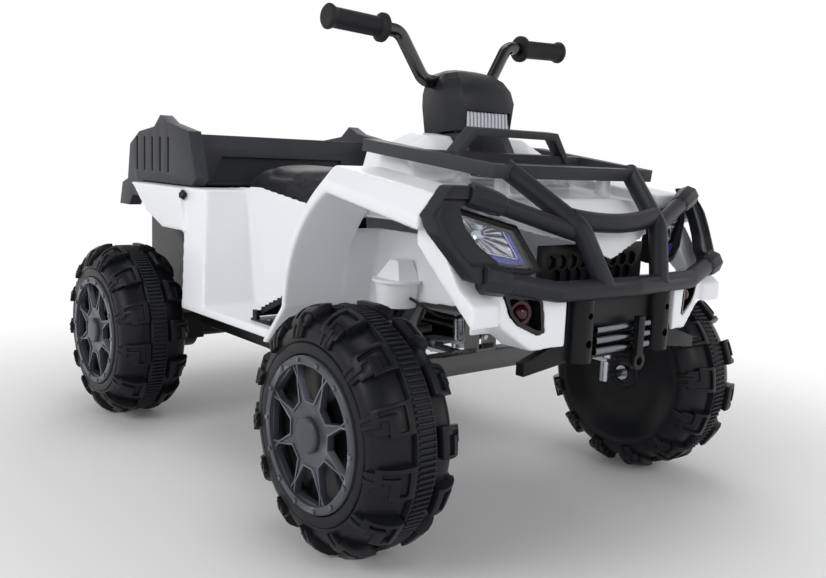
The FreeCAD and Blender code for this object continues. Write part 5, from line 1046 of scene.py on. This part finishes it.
# Horn lead: a short wire from the horn's cup down to the frame rail

LEAD_ROUTE = (
    (0.2645, -0.1330, 0.2825), (0.2888, -0.1330, 0.2765),
    (0.3060, -0.1080, 0.2575), (0.3060, -0.0730, 0.2593),
)
LEAD_DIAMETER = 4 * MM
LEAD_ROUND_STEPS = 4
LEAD_LONG_STEPS = 16
LEAD_ORDER = 3


def make_horn_lead():
    curve = bpy.data.curves.new("horn_lead", "CURVE")
    curve.dimensions = "3D"
    curve.bevel_depth = LEAD_DIAMETER / 2
    curve.bevel_resolution = LEAD_ROUND_STEPS
    curve.resolution_u = LEAD_LONG_STEPS
    curve.use_fill_caps = True
    spline = curve.splines.new("NURBS")
    spline.points.add(len(LEAD_ROUTE) - 1)
    for point, place in zip(spline.points, LEAD_ROUTE):
        point.co = (*place, 1.0)
    spline.order_u = LEAD_ORDER
    spline.use_endpoint_u = True
    dress(curve, "grip_rubber")
    lead = link(bpy.data.objects.new("horn_lead", curve))
    attach(lead, "chassis", "grip_rubber", "horn_wire")


# Camera, solved from the photograph

CAMERA_PLACE = Vector((1.15635, -0.87294, 0.47011))
CAMERA_AZIMUTH_DEG = 50.16
CAMERA_ELEVATION_DEG = 8.58
CAMERA_ROLL_DEG = 2.37
CAMERA_LENS = 38.2
SENSOR_WIDTH = 36.0


def make_camera():
    azimuth = math.radians(CAMERA_AZIMUTH_DEG)
    elevation = math.radians(CAMERA_ELEVATION_DEG)
    roll = math.radians(CAMERA_ROLL_DEG)
    level_reach = math.cos(elevation)
    forward = Vector((
        -math.sin(azimuth) * level_reach, math.cos(azimuth) * level_reach, -math.sin(elevation),
    ))
    level = Vector((math.cos(azimuth), math.sin(azimuth), 0))
    upright = level.cross(forward)
    right = level * math.cos(roll) + upright * math.sin(roll)
    up = right.cross(forward)
    camera = bpy.data.cameras.new("photo_camera")
    camera.lens = CAMERA_LENS
    camera.sensor_width = SENSOR_WIDTH
    camera.sensor_fit = "HORIZONTAL"
    item = link(bpy.data.objects.new("photo_camera", camera))
    turn = Matrix((right, up, -forward)).transposed().to_4x4()
    item.matrix_world = Matrix.Translation(CAMERA_PLACE) @ turn
    bpy.context.scene.camera = item


# Stage and light

FLOOR_RADIUS = 9.0
FLOOR_SIDES = 96
FLOOR_DROP = 0.5 * MM
FLOOR_ROUGHNESS = 0.7
# Distances from the middle between which the floor fades to white
FLOOR_FADE = (0.5, 1.25)
# Heights of the looking direction between which the walls dim, and the light that is left
CEILING_STRETCH = (0.3, 0.8)
CEILING_LIGHT = 0.2
# Soft boxes: place, size and power
SOFT_BOXES = {
    "key": ((0.2, -2.8, 1.8), 1.4, 26.0),
    "front": ((3.0, 0.3, 1.7), 1.2, 12.0),
    "top": ((-0.2, 0.2, 3.0), 1.8, 18.0),
    "back": ((-2.6, 1.6, 1.9), 1.4, 10.0),
}
LIGHT_AIM = Vector((0.0, 0.0, 0.3))


def seen_share(nodes):
    """1 for rays that show the background: straight, mirrored or through glass."""
    path = nodes.add("ShaderNodeLightPath")
    total = path.outputs["Is Camera Ray"]
    for word in ("Is Glossy Ray", "Is Transmission Ray"):
        total = nodes.calculate("MAXIMUM", total, path.outputs[word])
    return total


def floor_look():
    """Pale floor that keeps the shadow near the object and fades to white further out."""
    nodes = material_nodes("floor")
    nodes.set(Base_Color=FLOOR_WHITE, Roughness=FLOOR_ROUGHNESS)
    reach = nodes.add("ShaderNodeVectorMath")
    reach.operation = "LENGTH"
    nodes.put(reach.inputs[0], nodes.place)
    far = nodes.share(reach.outputs["Value"], FLOOR_FADE, eased=True)
    glow = nodes.add("ShaderNodeEmission")
    mix = nodes.add("ShaderNodeMixShader")
    nodes.put(mix.inputs[0], nodes.calculate("MULTIPLY", far, seen_share(nodes)))
    nodes.put(mix.inputs[1], nodes.shader.outputs[0])
    nodes.put(mix.inputs[2], glow.outputs[0])
    nodes.put(nodes.tree.nodes["Material Output"].inputs["Surface"], mix.outputs[0])
    return nodes.holder


def make_floor():
    shape = bmesh.new()
    bmesh.ops.create_circle(shape, cap_ends=True, segments=FLOOR_SIDES, radius=FLOOR_RADIUS)
    mesh = as_mesh("floor", shape)
    mesh.materials.append(floor_look())
    floor = link(bpy.data.objects.new("floor", mesh))
    floor.location.z = -FLOOR_DROP


def make_world():
    """White walls that dim towards the ceiling."""
    world = bpy.data.worlds.new("studio")
    bpy.context.scene.world = world
    nodes = Nodes(world, "Background", "Generated")
    height = nodes.add("ShaderNodeSeparateXYZ", Vector=nodes.place).outputs["Z"]
    light = nodes.spread(height, 1.0, CEILING_LIGHT, CEILING_STRETCH, eased=True)
    nodes.set(Color=WALL_WHITE, Strength=light)


def make_lights():
    for name, (place, size, power) in SOFT_BOXES.items():
        light = bpy.data.lights.new(name, "AREA")
        light.shape = "SQUARE"
        light.size = size
        light.energy = power
        item = link(bpy.data.objects.new(name, light))
        item.location = place
        item.rotation_euler = (LIGHT_AIM - Vector(place)).to_track_quat("-Z", "Y").to_euler()


make_camera()
make_horn_lead()
dress_nodes()
make_seat()
make_wheels()
make_headlights()
make_fog_domes()
make_grille_shade_sheet()
make_sleeves()
make_bolts()
make_floor()
make_world()
make_lights()
bpy.context.scene.view_settings.view_transform = "Standard"
